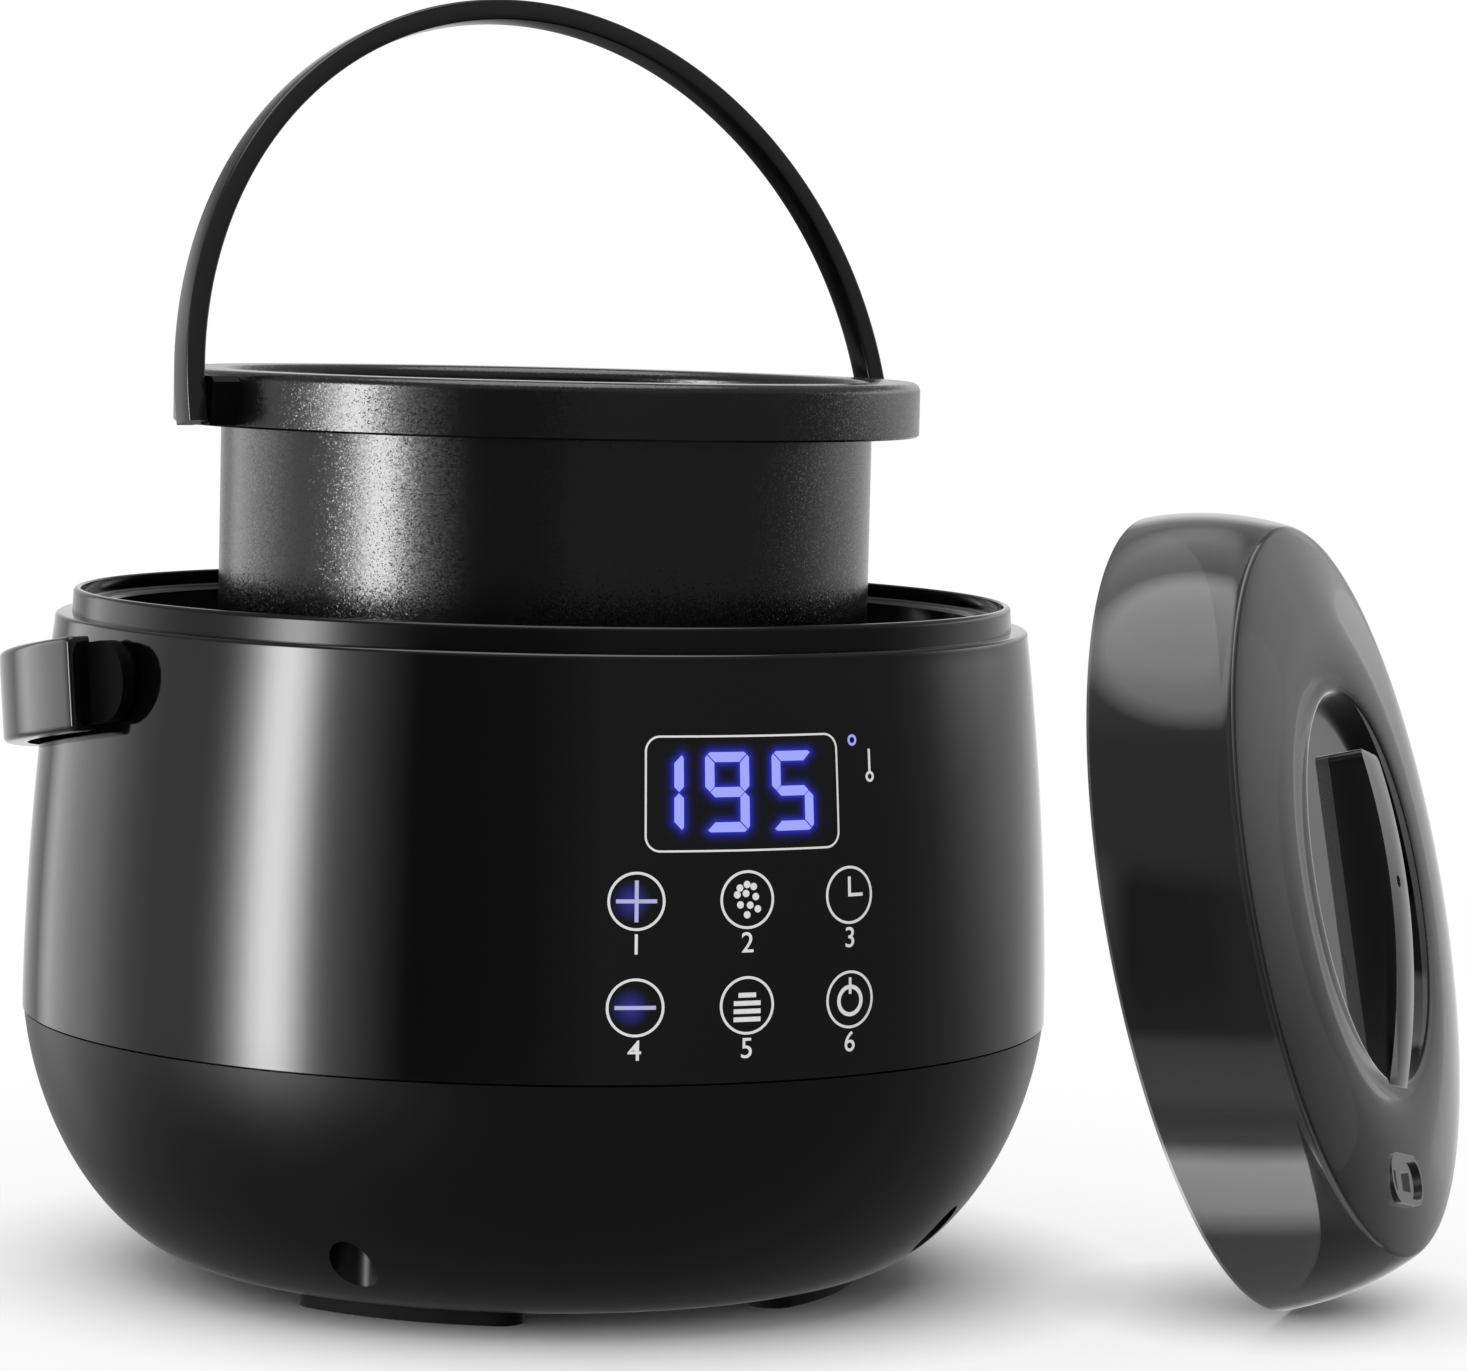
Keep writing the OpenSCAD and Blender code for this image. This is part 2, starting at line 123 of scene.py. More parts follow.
class Sock:
    """A node's output that takes part in Python expressions."""

    def __init__(self, maker: "Maker", socket: bpy.types.NodeSocket) -> None:
        """Keeps the tree's maker and the socket."""
        self.maker, self.socket = maker, socket

    def __add__(self, other: Any) -> "Sock":
        """self + other."""
        return self.maker.maths("ADD", self, other)

    def __sub__(self, other: Any) -> "Sock":
        """self - other."""
        return self.maker.maths("SUBTRACT", self, other)

    def __rsub__(self, other: Any) -> "Sock":
        """other - self."""
        return self.maker.maths("SUBTRACT", other, self)

    def __mul__(self, other: Any) -> "Sock":
        """self * other."""
        return self.maker.maths("MULTIPLY", self, other)

    def __truediv__(self, other: Any) -> "Sock":
        """self / other."""
        return self.maker.maths("DIVIDE", self, other)

    def __gt__(self, other: Any) -> "Sock":
        """1 where self is greater than other."""
        return self.maker.maths("GREATER_THAN", self, other)

    __radd__, __rmul__ = __add__, __mul__


class Maker:
    """Builds the nodes of one tree."""

    def __init__(self, tree: bpy.types.NodeTree) -> None:
        """Keeps the tree and empties it."""
        self.tree = tree
        tree.nodes.clear()

    def node(self, kind: str, settings: dict[str, Any] | None = None,
             inputs: dict[str | int, Any] | None = None, out: str | int = 0) -> Sock:
        """Adds a node.

        Args:
            kind: The node's type.
            settings: Its properties, and "stops" for a ramp, set before its sockets.
            inputs: A value or a Sock for each socket, by name or number.
            out: The output to hand back, by name or number.

        Returns:
            The chosen output.
        """
        made = self.tree.nodes.new(kind)
        for key, value in (settings or {}).items():
            if key == "stops":
                ramp = made.color_ramp
                while len(ramp.elements) < len(value):
                    ramp.elements.new(0.5)
                for element, (place, colour) in zip(ramp.elements, value):
                    element.position, element.color = place, (*colour, 1.0)
            else:
                setattr(made, key, value)
        for key, value in (inputs or {}).items():
            if isinstance(value, Sock):
                self.tree.links.new(value.socket, made.inputs[key])
            else:
                made.inputs[key].default_value = value
        return Sock(self, made.outputs[out])

    def end(self, kind: str, last: Sock) -> None:
        """Ends the tree in an output node."""
        self.tree.links.new(last.socket, self.tree.nodes.new(kind).inputs[0])

    def maths(self, operation: str, *values: Any) -> Sock:
        """A Math node on values or sockets."""
        return self.node("ShaderNodeMath", {"operation": operation}, dict(enumerate(values)))

    def vector(self, operation: str, first: Sock, second: Any = (0.0, 0.0, 0.0),
               out: str = "Vector") -> Sock:
        """A Vector Math node on one or two vectors."""
        return self.node("ShaderNodeVectorMath", {"operation": operation},
                         {0: first, 1: second}, out)

    def dot(self, vector: Sock, fixed: Sequence[float]) -> Sock:
        """Dot product of a vector socket with a fixed vector."""
        return self.vector("DOT_PRODUCT", vector, tuple(fixed), "Value")

    def coordinates(self, kind: str = "Object") -> Sock:
        """Texture coordinates of one kind."""
        return self.node("ShaderNodeTexCoord", out=kind)

    def noise(self, place: Sock, scale: float, detail: float = 2.0) -> Sock:
        """Noise of about one feature per 1 / scale metres."""
        return self.node("ShaderNodeTexNoise", None,
                         {"Vector": place, "Scale": scale, "Detail": detail}, "Fac")

    def bump(self, height: Sock, strength: float, distance: float) -> Sock:
        """Normal of a surface bumped by a height."""
        return self.node("ShaderNodeBump", None, {"Strength": strength, "Distance": distance,
                                                  "Height": height}, "Normal")

    def mixed(self, mask: Sock, low: Colour, high: Colour) -> Sock:
        """The first colour where the mask is 0, the second where it is 1."""
        return self.node("ShaderNodeMix", {"data_type": "RGBA"},
                         {"Factor": mask, 6: (*low, 1.0), 7: (*high, 1.0)}, 2)


# ---------------------------------------------------------------- finishes

class Grain(Enum):
    """How a finish varies over its surface."""

    GLOSS = "moulded gloss"
    SATIN = "fine moulded satin"
    SPECKLED = "speckled non-stick coating"
    BRUSHED = "turned or brushed metal"
    FELT = "felted fibre"
    BOARD = "printed board"
    CLEAR = "clear tinted plastic"


def new_material(name: str, shade: Callable[[Maker, Sock], Sock]) -> bpy.types.Material:
    """Makes a material once.

    Args:
        name: The material's name.
        shade: Adds the nodes on Object coordinates and hands back the shader.

    Returns:
        The material.
    """
    found = bpy.data.materials.get(name)
    if found:
        return found
    made = bpy.data.materials.new(name)
    made.use_nodes = True
    maker = Maker(made.node_tree)
    maker.end("ShaderNodeOutputMaterial", shade(maker, maker.coordinates()))
    return made


@dataclass(frozen=True)
class Finish:
    """A surface finish and its material."""

    name: str
    grain: Grain
    colour: Colour
    roughness: float
    metallic: float = 0.0
    coat: float = 0.0
    specular: float = 0.5
    ior: float = 1.5
    # Height in mm and tint of each band: painted reflections and shade on a clear wall.
    bands: tuple[Point, ...] = ()

    def material(self) -> bpy.types.Material:
        """The finish's material.

        Returns:
            The material, made once.
        """
        made = new_material(self.name, self._shade)
        made.diffuse_color = (*self.colour, 1.0)
        return made

    def _shade(self, maker: Maker, place: Sock) -> Sock:
        """Adds the shader.

        Args:
            maker: The material's maker.
            place: Object coordinates.

        Returns:
            The shader.
        """
        sockets = {"Base Color": (*self.colour, 1.0), "Roughness": self.roughness,
                   "Metallic": self.metallic, "Coat Weight": self.coat, "Coat Roughness": 0.04,
                   "Specular IOR Level": self.specular, "IOR": self.ior}
        grains = {Grain.GLOSS: self._gloss, Grain.SATIN: self._satin, Grain.FELT: self._felt,
                  Grain.SPECKLED: self._speckled, Grain.BRUSHED: self._brushed,
                  Grain.BOARD: self._board, Grain.CLEAR: self._clear}
        sockets |= grains[self.grain](maker, place)
        return maker.node("ShaderNodeBsdfPrincipled", None, sockets, "BSDF")

    def _tinted(self, maker: Maker, mask: Sock, spread: float) -> Sock:
        """The base colour, lighter and darker by a share.

        Args:
            maker: The material's maker.
            mask: 0 where the colour is darkest, 1 where it is lightest.
            spread: The share.

        Returns:
            The colour.
        """
        low = tuple(c * (1 - spread) for c in self.colour)
        high = tuple(min(c * (1 + spread), 1.0) for c in self.colour)
        return maker.mixed(mask, low, high)

    def _gloss(self, maker: Maker, place: Sock) -> dict[str, Any]:
        """Deep gloss with a trace of flow in the moulding.

        Args:
            maker: The material's maker.
            place: Object coordinates.

        Returns:
            What the shader's sockets get.
        """
        flow = maker.noise(place, 45.0)
        dust = maker.noise(place, 2600.0, 3.0)
        return {"Roughness": self.roughness + flow * 0.03 + (dust > 0.68) * 0.05,
                "Base Color": self._tinted(maker, flow, 0.12),
                "Normal": maker.bump(flow, 0.02, 0.0004)}

    def _satin(self, maker: Maker, place: Sock) -> dict[str, Any]:
        """Fine spark-eroded texture of a satin moulding.

        Args:
            maker: The material's maker.
            place: Object coordinates.

        Returns:
            What the shader's sockets get.
        """
        grain = maker.noise(place, 3200.0, 3.0)
        cloud = maker.noise(place, 60.0)
        return {"Roughness": self.roughness + (grain - 0.5) * 0.1 + (cloud - 0.5) * 0.06,
                "Base Color": self._tinted(maker, cloud, 0.15),
                "Normal": maker.bump(grain, 0.12, 0.00006)}

    def _speckled(self, maker: Maker, place: Sock) -> dict[str, Any]:
        """Coating with fine metallic flakes, each tipped its own way.

        Args:
            maker: The material's maker.
            place: Object coordinates.

        Returns:
            What the shader's sockets get.
        """
        cells = {"Vector": place, "Scale": 4700.0, "Randomness": 1.0}
        tint = maker.node("ShaderNodeTexVoronoi", None, cells, "Color")
        tipped = maker.vector("SUBTRACT", tint, (0.5, 0.5, 0.5))
        flake = maker.node("ShaderNodeSeparateColor", None, {"Color": tint}, "Red")
        tipped = maker.node("ShaderNodeVectorMath", {"operation": "SCALE"},
                            {0: tipped, "Scale": (flake > 0.8) * 0.17 + 0.07})
        plain = maker.node("ShaderNodeNewGeometry", out="Normal")
        normal = maker.vector("NORMALIZE", maker.vector("ADD", plain, tipped))
        cloud = maker.noise(place, 1800.0, 3.0)
        return {"Roughness": self.roughness + (cloud - 0.5) * 0.06,
                "Metallic": (flake > 0.93) * 0.05 + self.metallic,
                "Base Color": self._tinted(maker, flake, 0.3), "Normal": normal}

    def _brushed(self, maker: Maker, place: Sock) -> dict[str, Any]:
        """Turned or brushed metal with fine lines.

        Args:
            maker: The material's maker.
            place: Object coordinates.

        Returns:
            What the shader's sockets get.
        """
        lines = maker.node("ShaderNodeMapping", None,
                           {"Vector": place, "Scale": (300.0, 300.0, 4000.0)})
        grain = maker.noise(lines, 1.0, 3.0)
        return {"Roughness": self.roughness + (grain - 0.5) * 0.25,
                "Base Color": self._tinted(maker, grain, 0.1),
                "Normal": maker.bump(grain, 0.1, 0.00005)}

    def _felt(self, maker: Maker, place: Sock) -> dict[str, Any]:
        """Matted fibres."""
        grain = maker.noise(place, 1500.0, 6.0)
        return {"Base Color": self._tinted(maker, grain, 0.25),
                "Normal": maker.bump(grain, 0.8, 0.0004)}

    def _board(self, maker: Maker, place: Sock) -> dict[str, Any]:
        """Solder mask with copper tracks showing through."""
        track = maker.node("ShaderNodeTexWave", {"wave_type": "BANDS", "bands_direction": "X"},
                           {"Vector": place, "Scale": 120.0, "Distortion": 2.0}, "Fac")
        return {"Base Color": self._tinted(maker, track > 0.7, 0.35),
                "Normal": maker.bump(track, 0.2, 0.00005)}

    def _clear(self, maker: Maker, place: Sock) -> dict[str, Any]:
        """Clear plastic, tinted in the mass; where there are bands, its tint steps by height in mm
        as painted reflections and shade.

        Args:
            maker: The material's maker.
            place: Object coordinates.

        Returns:
            What the shader's sockets get.
        """
        flow = maker.noise(place, 30.0)
        found = {"Transmission Weight": 1.0, "Normal": maker.bump(flow, 0.03, 0.0006)}
        # Each band's tint is painted reflection or painted shade.
        if self.bands:
            top = self.bands[-1][0]
            stops = [(z / top, (tint, tint, tint)) for z, tint in self.bands]
            height = maker.node("ShaderNodeSeparateXYZ", None, {0: place}, "Z") / (top * MM)
            found["Base Color"] = maker.node("ShaderNodeValToRGB", {"stops": stops},
                                             {"Fac": height}, "Color")
        return found


@dataclass(frozen=True)
class Lit:
    """A lit mark, or print with painted glow, brightened by the mesh's glow attribute if it has
    one.
    """

    name: str
    colour: Colour
    strength: float
    shaded: bool = False
    base: Colour = (0.002, 0.002, 0.0022)

    def material(self) -> bpy.types.Material:
        """The mark's material, made once."""
        return new_material(self.name, self._shade)

    def _shade(self, maker: Maker, place: Sock) -> Sock:
        """Adds the shader.

        Args:
            maker: The material's maker.
            place: Object coordinates.

        Returns:
            The shader.
        """
        grain = maker.noise(place, 1800.0)
        light: Any = (*self.colour, 1.0)
        spread, least = 0.2, 0.3
        if self.shaded:
            glow = maker.node("ShaderNodeAttribute", {"attribute_name": "glow"}, out="Fac")
            light = maker.mixed(glow, (0.0, 0.0, 0.0), self.colour)
            spread, least = 0.1, 0.06
        return maker.node("ShaderNodeBsdfPrincipled", None, {
            "Base Color": (*self.base, 1.0), "Roughness": grain * spread + least,
            "Emission Color": light, "Emission Strength": self.strength}, "BSDF")


Dress = Finish | Lit

GLOSS_BLACK = Finish("gloss_black_plastic", Grain.GLOSS, (0.0018, 0.0018, 0.002), 0.07)
SATIN_BLACK = Finish("satin_black_plastic", Grain.SATIN, (0.0022, 0.0022, 0.0024), 0.33,
                     specular=0.32)
MATT_BLACK = Finish("matt_black_plastic", Grain.SATIN, (0.0015, 0.0015, 0.0016), 0.5,
                    specular=0.03)
RING_BLACK = Finish("ring_black_plastic", Grain.SATIN, (0.002, 0.002, 0.0022), 0.16, specular=0.3)
COATED = Finish("speckled_coating", Grain.SPECKLED, (0.0009, 0.0009, 0.001), 0.2,
                specular=0.72)
SMOKE = Finish("smoke_clear_plastic", Grain.CLEAR, (0.014, 0.014, 0.014), 0.02, ior=1.16)
# Side wall: its bands paint bright reflections and dark shade by height.
SMOKE_SIDE_PAINTED = Finish("smoke_clear_plastic_side", Grain.CLEAR, (0.05, 0.05, 0.05), 0.02, bands=(
    (0, .045), (22, .045), (28, .26), (37, .3), (41, .05), (46, .03), (50, .045), (59, .035),
    (62, .008), (112, .009), (119, .02), (126, .05), (160, .05)))
# Dish and finger bar: a darker tint of the same clear plastic, as painted shade.
SMOKE_DISH_SHADE = Finish("smoke_clear_plastic_dish", Grain.CLEAR, (0.002, 0.002, 0.002), 0.03,
                    ior=1.3)
RUBBER = Finish("black_rubber", Grain.SATIN, (0.003, 0.003, 0.003), 0.7, specular=0.15)
ALUMINIUM = Finish("spun_aluminium", Grain.BRUSHED, (0.72, 0.72, 0.74), 0.32, 1.0)
STEEL = Finish("plain_steel", Grain.BRUSHED, (0.5, 0.5, 0.52), 0.28, 1.0)
FIBRE = Finish("felted_fibre", Grain.FELT, (0.72, 0.69, 0.62), 0.95)
BOARD = Finish("green_board", Grain.BOARD, (0.02, 0.14, 0.06), 0.35)
PART_DARK = Finish("dark_component", Grain.SATIN, (0.03, 0.03, 0.034), 0.5)
BAIL_BLACK = Finish("bail_black_plastic", Grain.GLOSS, (0.004, 0.004, 0.0045), 0.16)
VENT_BLACK = Finish("vent_black_plastic", Grain.SATIN, (0.005, 0.005, 0.006), 0.22)
# White print: its own pale colour, and its emission adds a faint painted glow.
GLOWING_PRINT = Lit("white_print", (0.62, 0.62, 0.62), 0.3, base=(0.55, 0.55, 0.55))
LIT_DIGIT = Lit("lit_segment", (0.36, 0.39, 1.0), 0.97)
KEY_SIGN = Lit("key_sign", (0.5, 0.5, 0.82), 0.85)
# The window's emission is a painted glow round the lit digits, set by the glow attribute.
WINDOW_BLOOM = Lit("display_window", (0.04, 0.05, 1.0), 0.5, shaded=True)
KEY_GLOW = Lit("key_glow", (0.1, 0.1, 1.0), 0.26, shaded=True)


# ---------------------------------------------------------------- meshes

class Shape:
    """Meshes made from rules, by node trees or point by point."""

    SPINDLE = 10.0  # radius in mm of the circle that a lathe sweeps its profile round
    WELD = 2e-6     # metres within which a lathe joins its points

    @staticmethod
    def link(name: str, mesh: bpy.types.Mesh) -> bpy.types.Object:
        """Puts a mesh into the scene.

        Args:
            name: The object's name.
            mesh: The mesh.

        Returns:
            The object, at the origin.
        """
        made = bpy.data.objects.new(name, mesh)
        bpy.context.scene.collection.objects.link(made)
        return made

    @staticmethod
    def mesh(name: str, work: bmesh.types.BMesh, material: bpy.types.Material) -> bpy.types.Mesh:
        """Ends a mesh in the making.

        Args:
            name: The mesh's name.
            work: Its faces, which are used up.
            material: The material of them all.

        Returns:
            The mesh.
        """
        made = bpy.data.meshes.new(name)
        work.to_mesh(made)
        work.free()
        made.materials.append(material)
        return made

    @staticmethod
    def settle(piece: bpy.types.Object) -> None:
        """Keeps what a piece's modifiers make as its own plain mesh.

        Args:
            piece: The piece, which loses its modifiers and its old mesh.
        """
        graph = bpy.context.evaluated_depsgraph_get()
        mesh = bpy.data.meshes.new_from_object(piece.evaluated_get(graph))
        piece.modifiers.clear()
        old, piece.data = piece.data, mesh
        bpy.data.meshes.remove(old)

    @staticmethod
    def tree(name: str, inputs: Sequence[tuple[str, str]],
             body: Callable[[Maker, dict[str, Sock]], Sock]) -> bpy.types.NodeTree:
        """Makes a geometry tree once.

        Args:
            name: The tree's name.
            inputs: Name and socket type of each input besides Geometry.
            body: Adds the nodes and hands back the geometry.

        Returns:
            The tree, which ends in Realize Instances and Set Material.
        """
        found = bpy.data.node_groups.get(name)
        if found:
            return found
        tree = bpy.data.node_groups.new(name, "GeometryNodeTree")
        face = tree.interface
        face.new_socket("Geometry", in_out="INPUT", socket_type="NodeSocketGeometry")
        for label, kind in (*inputs, ("Finish", "NodeSocketMaterial")):
            face.new_socket(label, in_out="INPUT", socket_type=kind)
        face.new_socket("Geometry", in_out="OUTPUT", socket_type="NodeSocketGeometry")
        maker = Maker(tree)
        start = tree.nodes.new("NodeGroupInput")
        given = {s.name: Sock(maker, s) for s in start.outputs if s.name}
        shape = maker.node("GeometryNodeRealizeInstances", None, {0: body(maker, given)})
        shape = maker.node("GeometryNodeSetMaterial", None,
                           {"Geometry": shape, "Material": given["Finish"]})
        maker.end("NodeGroupOutput", shape)
        return tree

    @classmethod
    def grown(cls, name: str, points: Sequence[Sequence[float]],
              edges: Sequence[tuple[int, int]], tree: bpy.types.NodeTree, finish: Dress,
              closed: bool = True, **values: float) -> bpy.types.Object:
        """Runs a tree on a chain of points and keeps the result as a plain mesh.

        Args:
            name: The piece's name.
            points: The chain's points in metres.
            edges: Pairs of point numbers.
            tree: The geometry tree.
            finish: The finish that the faces get.
            closed: Whether the result is a solid, whose faces are then turned outwards.
            **values: The tree's other inputs.

        Returns:
            The piece, with its modifier removed.
        """
        seed = bpy.data.meshes.new(name + "_seed")
        seed.from_pydata([tuple(p) for p in points], list(edges), [])
        piece = cls.link(name, seed)
        modifier = piece.modifiers.new("grow", "NODES")
        modifier.node_group = tree
        sockets = {s.name: s.identifier for s in tree.interface.items_tree
                   if s.in_out == "INPUT"}
        modifier[sockets["Finish"]] = finish.material()
        for key, value in values.items():
            modifier[sockets[key.capitalize()]] = value
        cls.settle(piece)
        piece.data.name = name
        if closed:
            cls.face_out(piece.data)
        return piece

    @staticmethod
    def face_out(mesh: bpy.types.Mesh, angle: float = 32.0) -> None:
        """Turns a closed mesh's faces outwards and smooths all but its sharp edges.

        Args:
            mesh: The mesh.
            angle: Edges that turn by more than this many degrees stay sharp.
        """
        work = bmesh.new()
        work.from_mesh(mesh)
        bmesh.ops.remove_doubles(work, verts=work.verts, dist=1e-7)
        bmesh.ops.recalc_face_normals(work, faces=work.faces)
        if work.calc_volume(signed=True) < 0:
            bmesh.ops.reverse_faces(work, faces=work.faces)
        work.to_mesh(mesh)
        work.free()
        mesh.shade_smooth()
        mesh.set_sharp_from_angle(angle=math.radians(angle))

    @classmethod
    def lathe(cls, name: str, profile: Sequence[Point], finish: Dress, steps: int = 256,
              closed: bool = True) -> bpy.types.Object:
        """A body of revolution about the upright axis.

        Args:
            name: The piece's name.
            profile: Radius and height points in mm; a profile that starts and ends on
                the axis is left open there.
            finish: The finish.
            steps: How many steps the turn is cut into.
            closed: Whether the last point joins the first.

        Returns:
            The piece.
        """
        def body(maker: Maker, given: dict[str, Sock]) -> Sock:
            """Sweeps the profile round a small circle.

            Args:
                maker: The tree's maker.
                given: The tree's inputs.

            Returns:
                The turned faces.
            """
            chain = maker.node("GeometryNodeMeshToCurve", None, {"Mesh": given["Geometry"]})
            ring = maker.node("GeometryNodeCurvePrimitiveCircle", None,
                              {"Resolution": given["Steps"], "Radius": cls.SPINDLE * MM})
            swept = maker.node("GeometryNodeCurveToMesh", None,
                               {"Curve": ring, "Profile Curve": chain})
            return maker.node("GeometryNodeMergeByDistance", None,
                              {"Geometry": swept, "Distance": given["Weld"]})

        tree = cls.tree("Lathe", (("Steps", "NodeSocketInt"), ("Weld", "NodeSocketFloat")), body)
        points = [((r - cls.SPINDLE) * MM, -z * MM, 0.0) for r, z in profile]
        last = len(points) - 1
        edges = [(i, i + 1) for i in range(last)] + ([(last, 0)] if closed else [])
        return cls.grown(name, points, edges, tree, finish, steps=steps, weld=cls.WELD)

    @classmethod
    def sweep(cls, name: str, path: Sequence[Point], width: float, height: float,
              round_by: float, finish: Dress) -> bpy.types.Object:
        """A bar of rounded rectangular section along a flat path.

        Args:
            name: The piece's name.
            path: The path's points in mm, in the plane z = 0.
            width: The section's size across the path in its plane, in mm.
            height: The section's size out of the plane, in mm.
            round_by: Radius of the section's corners in mm.
            finish: The finish.

        Returns:
            The piece, lying in the plane z = 0.
        """
        def body(maker: Maker, given: dict[str, Sock]) -> Sock:
            """Sweeps a filleted rectangle along the chain.

            Args:
                maker: The tree's maker.
                given: The tree's inputs.

            Returns:
                The bar's faces.
            """
            chain = maker.node("GeometryNodeMeshToCurve", None, {"Mesh": given["Geometry"]})
            chain = maker.node("GeometryNodeSetCurveNormal", {"mode": "Z_UP"}, {"Curve": chain})
            face = maker.node("GeometryNodeCurvePrimitiveQuadrilateral", None,
                              {"Width": given["Width"], "Height": given["Height"]})
            face = maker.node("GeometryNodeFilletCurve", {"mode": "POLY"}, {
                "Curve": face, "Radius": given["Corner"], "Count": 5})
            return maker.node("GeometryNodeCurveToMesh", None,
                              {"Curve": chain, "Profile Curve": face, "Fill Caps": True})

        tree = cls.tree("Sweep", tuple((n, "NodeSocketFloat") for n in
                                       ("Width", "Height", "Corner")), body)
        points = [(x * MM, y * MM, 0.0) for x, y in path]
        edges = [(i, i + 1) for i in range(len(points) - 1)]
        return cls.grown(name, points, edges, tree, finish, width=width * MM,
                         height=height * MM, corner=round_by * MM)

    @staticmethod
    def move(piece: bpy.types.Object, place: Matrix) -> bpy.types.Object:
        """Places a piece within its mesh.

        Args:
            piece: The piece.
            place: Where it goes.

        Returns:
            The piece.
        """
        piece.data.transform(place)
        piece.data.update()
        return piece

    @classmethod
    def carve(cls, piece: bpy.types.Object, tools: Sequence[bpy.types.Object],
              operation: str = "DIFFERENCE") -> bpy.types.Object:
        """Cuts or joins a piece with others and keeps a plain mesh.

        Args:
            piece: The piece that is changed.
            tools: The other pieces, which are used up.
            operation: DIFFERENCE, UNION or INTERSECT.

        Returns:
            The piece.
        """
        for tool in tools:
            cut = piece.modifiers.new("cut", "BOOLEAN")
            cut.operation, cut.solver, cut.object = operation, "EXACT", tool
            cut.material_mode = "TRANSFER"
        cls.settle(piece)
        for tool in tools:
            cls.drop(tool)
        cls.face_out(piece.data)
        return piece

    @classmethod
    def rod(cls, name: str, start: Sequence[float], end: Sequence[float], radius: float,
            finish: Dress, sides: int = 64) -> bpy.types.Object:
        """A plain round cutter or stud.

        Args:
            name: The piece's name.
            start: One end of its axis, in mm.
            end: The other end, in mm.
            radius: Its radius in mm.
            finish: The finish.
            sides: How many sides it has.

        Returns:
            The piece.
        """
        work = bmesh.new()
        a, b = Vector(start) * MM, Vector(end) * MM
        turn = (b - a).to_track_quat("Z", "Y").to_matrix().to_4x4()
        bmesh.ops.create_cone(work, cap_ends=True, segments=sides, radius1=radius * MM,
                              radius2=radius * MM, depth=(b - a).length,
                              matrix=Matrix.Translation((a + b) / 2) @ turn)
        return cls.link(name, cls.mesh(name, work, finish.material()))

    @classmethod
    def block(cls, name: str, low: Sequence[float], high: Sequence[float],
              finish: Dress) -> bpy.types.Object:
        """A plain square cutter or link.

        Args:
            name: The piece's name.
            low: Its lowest corner, in mm.
            high: Its highest corner, in mm.
            finish: The finish.

        Returns:
            The piece.
        """
        work = bmesh.new()
        bmesh.ops.create_cube(work, size=1.0)
        for v in work.verts:
            v.co = Vector((low[i] + (v.co[i] + 0.5) * (high[i] - low[i])) * MM for i in range(3))
        return cls.link(name, cls.mesh(name, work, finish.material()))

    @staticmethod
    def drop(piece: bpy.types.Object) -> None:
        """Removes a helper object and its mesh.

        Args:
            piece: The helper.
        """
        used = piece.data
        bpy.data.objects.remove(piece)
        bpy.data.meshes.remove(used)

    @classmethod
    def joined(cls, name: str, pieces: Sequence[bpy.types.Object]) -> bpy.types.Object:
        """Makes one piece of several that don't touch.

        Args:
            name: The new piece's name.
            pieces: The pieces, which are used up.

        Returns:
            The new piece, in the first one's material.
        """
        work = bmesh.new()
        for piece in pieces:
            work.from_mesh(piece.data)
        mesh = cls.mesh(name, work, pieces[0].data.materials[0])
        for piece in pieces:
            cls.drop(piece)
        return cls.link(name, mesh)

    @classmethod
    def prism(cls, name: str, outline: Sequence[Point], low: float, high: float,
              finish: Dress) -> bpy.types.Object:
        """An outline drawn up between two heights.

        Args:
            name: The piece's name.
            outline: The outline's points in mm.
            low: The lower height in mm.
            high: The upper height in mm.
            finish: The finish.

        Returns:
            The piece.
        """
        work = bmesh.new()
        lower, upper = ([work.verts.new((x * MM, y * MM, z * MM)) for x, y in outline]
                        for z in (low, high))
        work.faces.new(lower[::-1])
        work.faces.new(upper)
        count = len(outline)
        for i in range(count):
            j = (i + 1) % count
            work.faces.new([lower[i], lower[j], upper[j], upper[i]])
        bmesh.ops.recalc_face_normals(work, faces=work.faces)
        return cls.link(name, cls.mesh(name, work, finish.material()))

    @classmethod
    def soften(cls, piece: bpy.types.Object, width: float, angle: float) -> None:
        """Rounds a piece's sharp edges.

        Args:
            piece: The piece.
            width: The rounding's width in mm.
            angle: Edges that turn by more than this many degrees are rounded.
        """
        bevel = piece.modifiers.new("soften", "BEVEL")
        bevel.width, bevel.segments = width * MM, 3
        bevel.limit_method, bevel.angle_limit = "ANGLE", math.radians(angle)
        cls.settle(piece)


# ---------------------------------------------------------------- sub-assemblies

@dataclass
class SubAssembly:
    """A group of pieces that are dressed together."""

    made: list[bpy.types.Object] = field(default_factory=list)

    def keep(self, piece: bpy.types.Object, body: str, slot: str,
             *nodes: str) -> bpy.types.Object:
        """Fastens a finished piece to its body.

        Args:
            piece: The piece.
            body: The CAD body that it rides on.
            slot: A material slot's name; not used.
            *nodes: The CAD nodes that it stands for.

        Returns:
            The piece.
        """
        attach(piece, body)
        if nodes:
            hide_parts(*nodes)
        self.made.append(piece)
        return piece

    def report(self) -> None:
        """Logs each piece with its number of faces."""
        for piece in self.made:
            LOG.info("%s: %s, %d faces", type(self).__name__, piece.name,
                     len(piece.data.polygons))


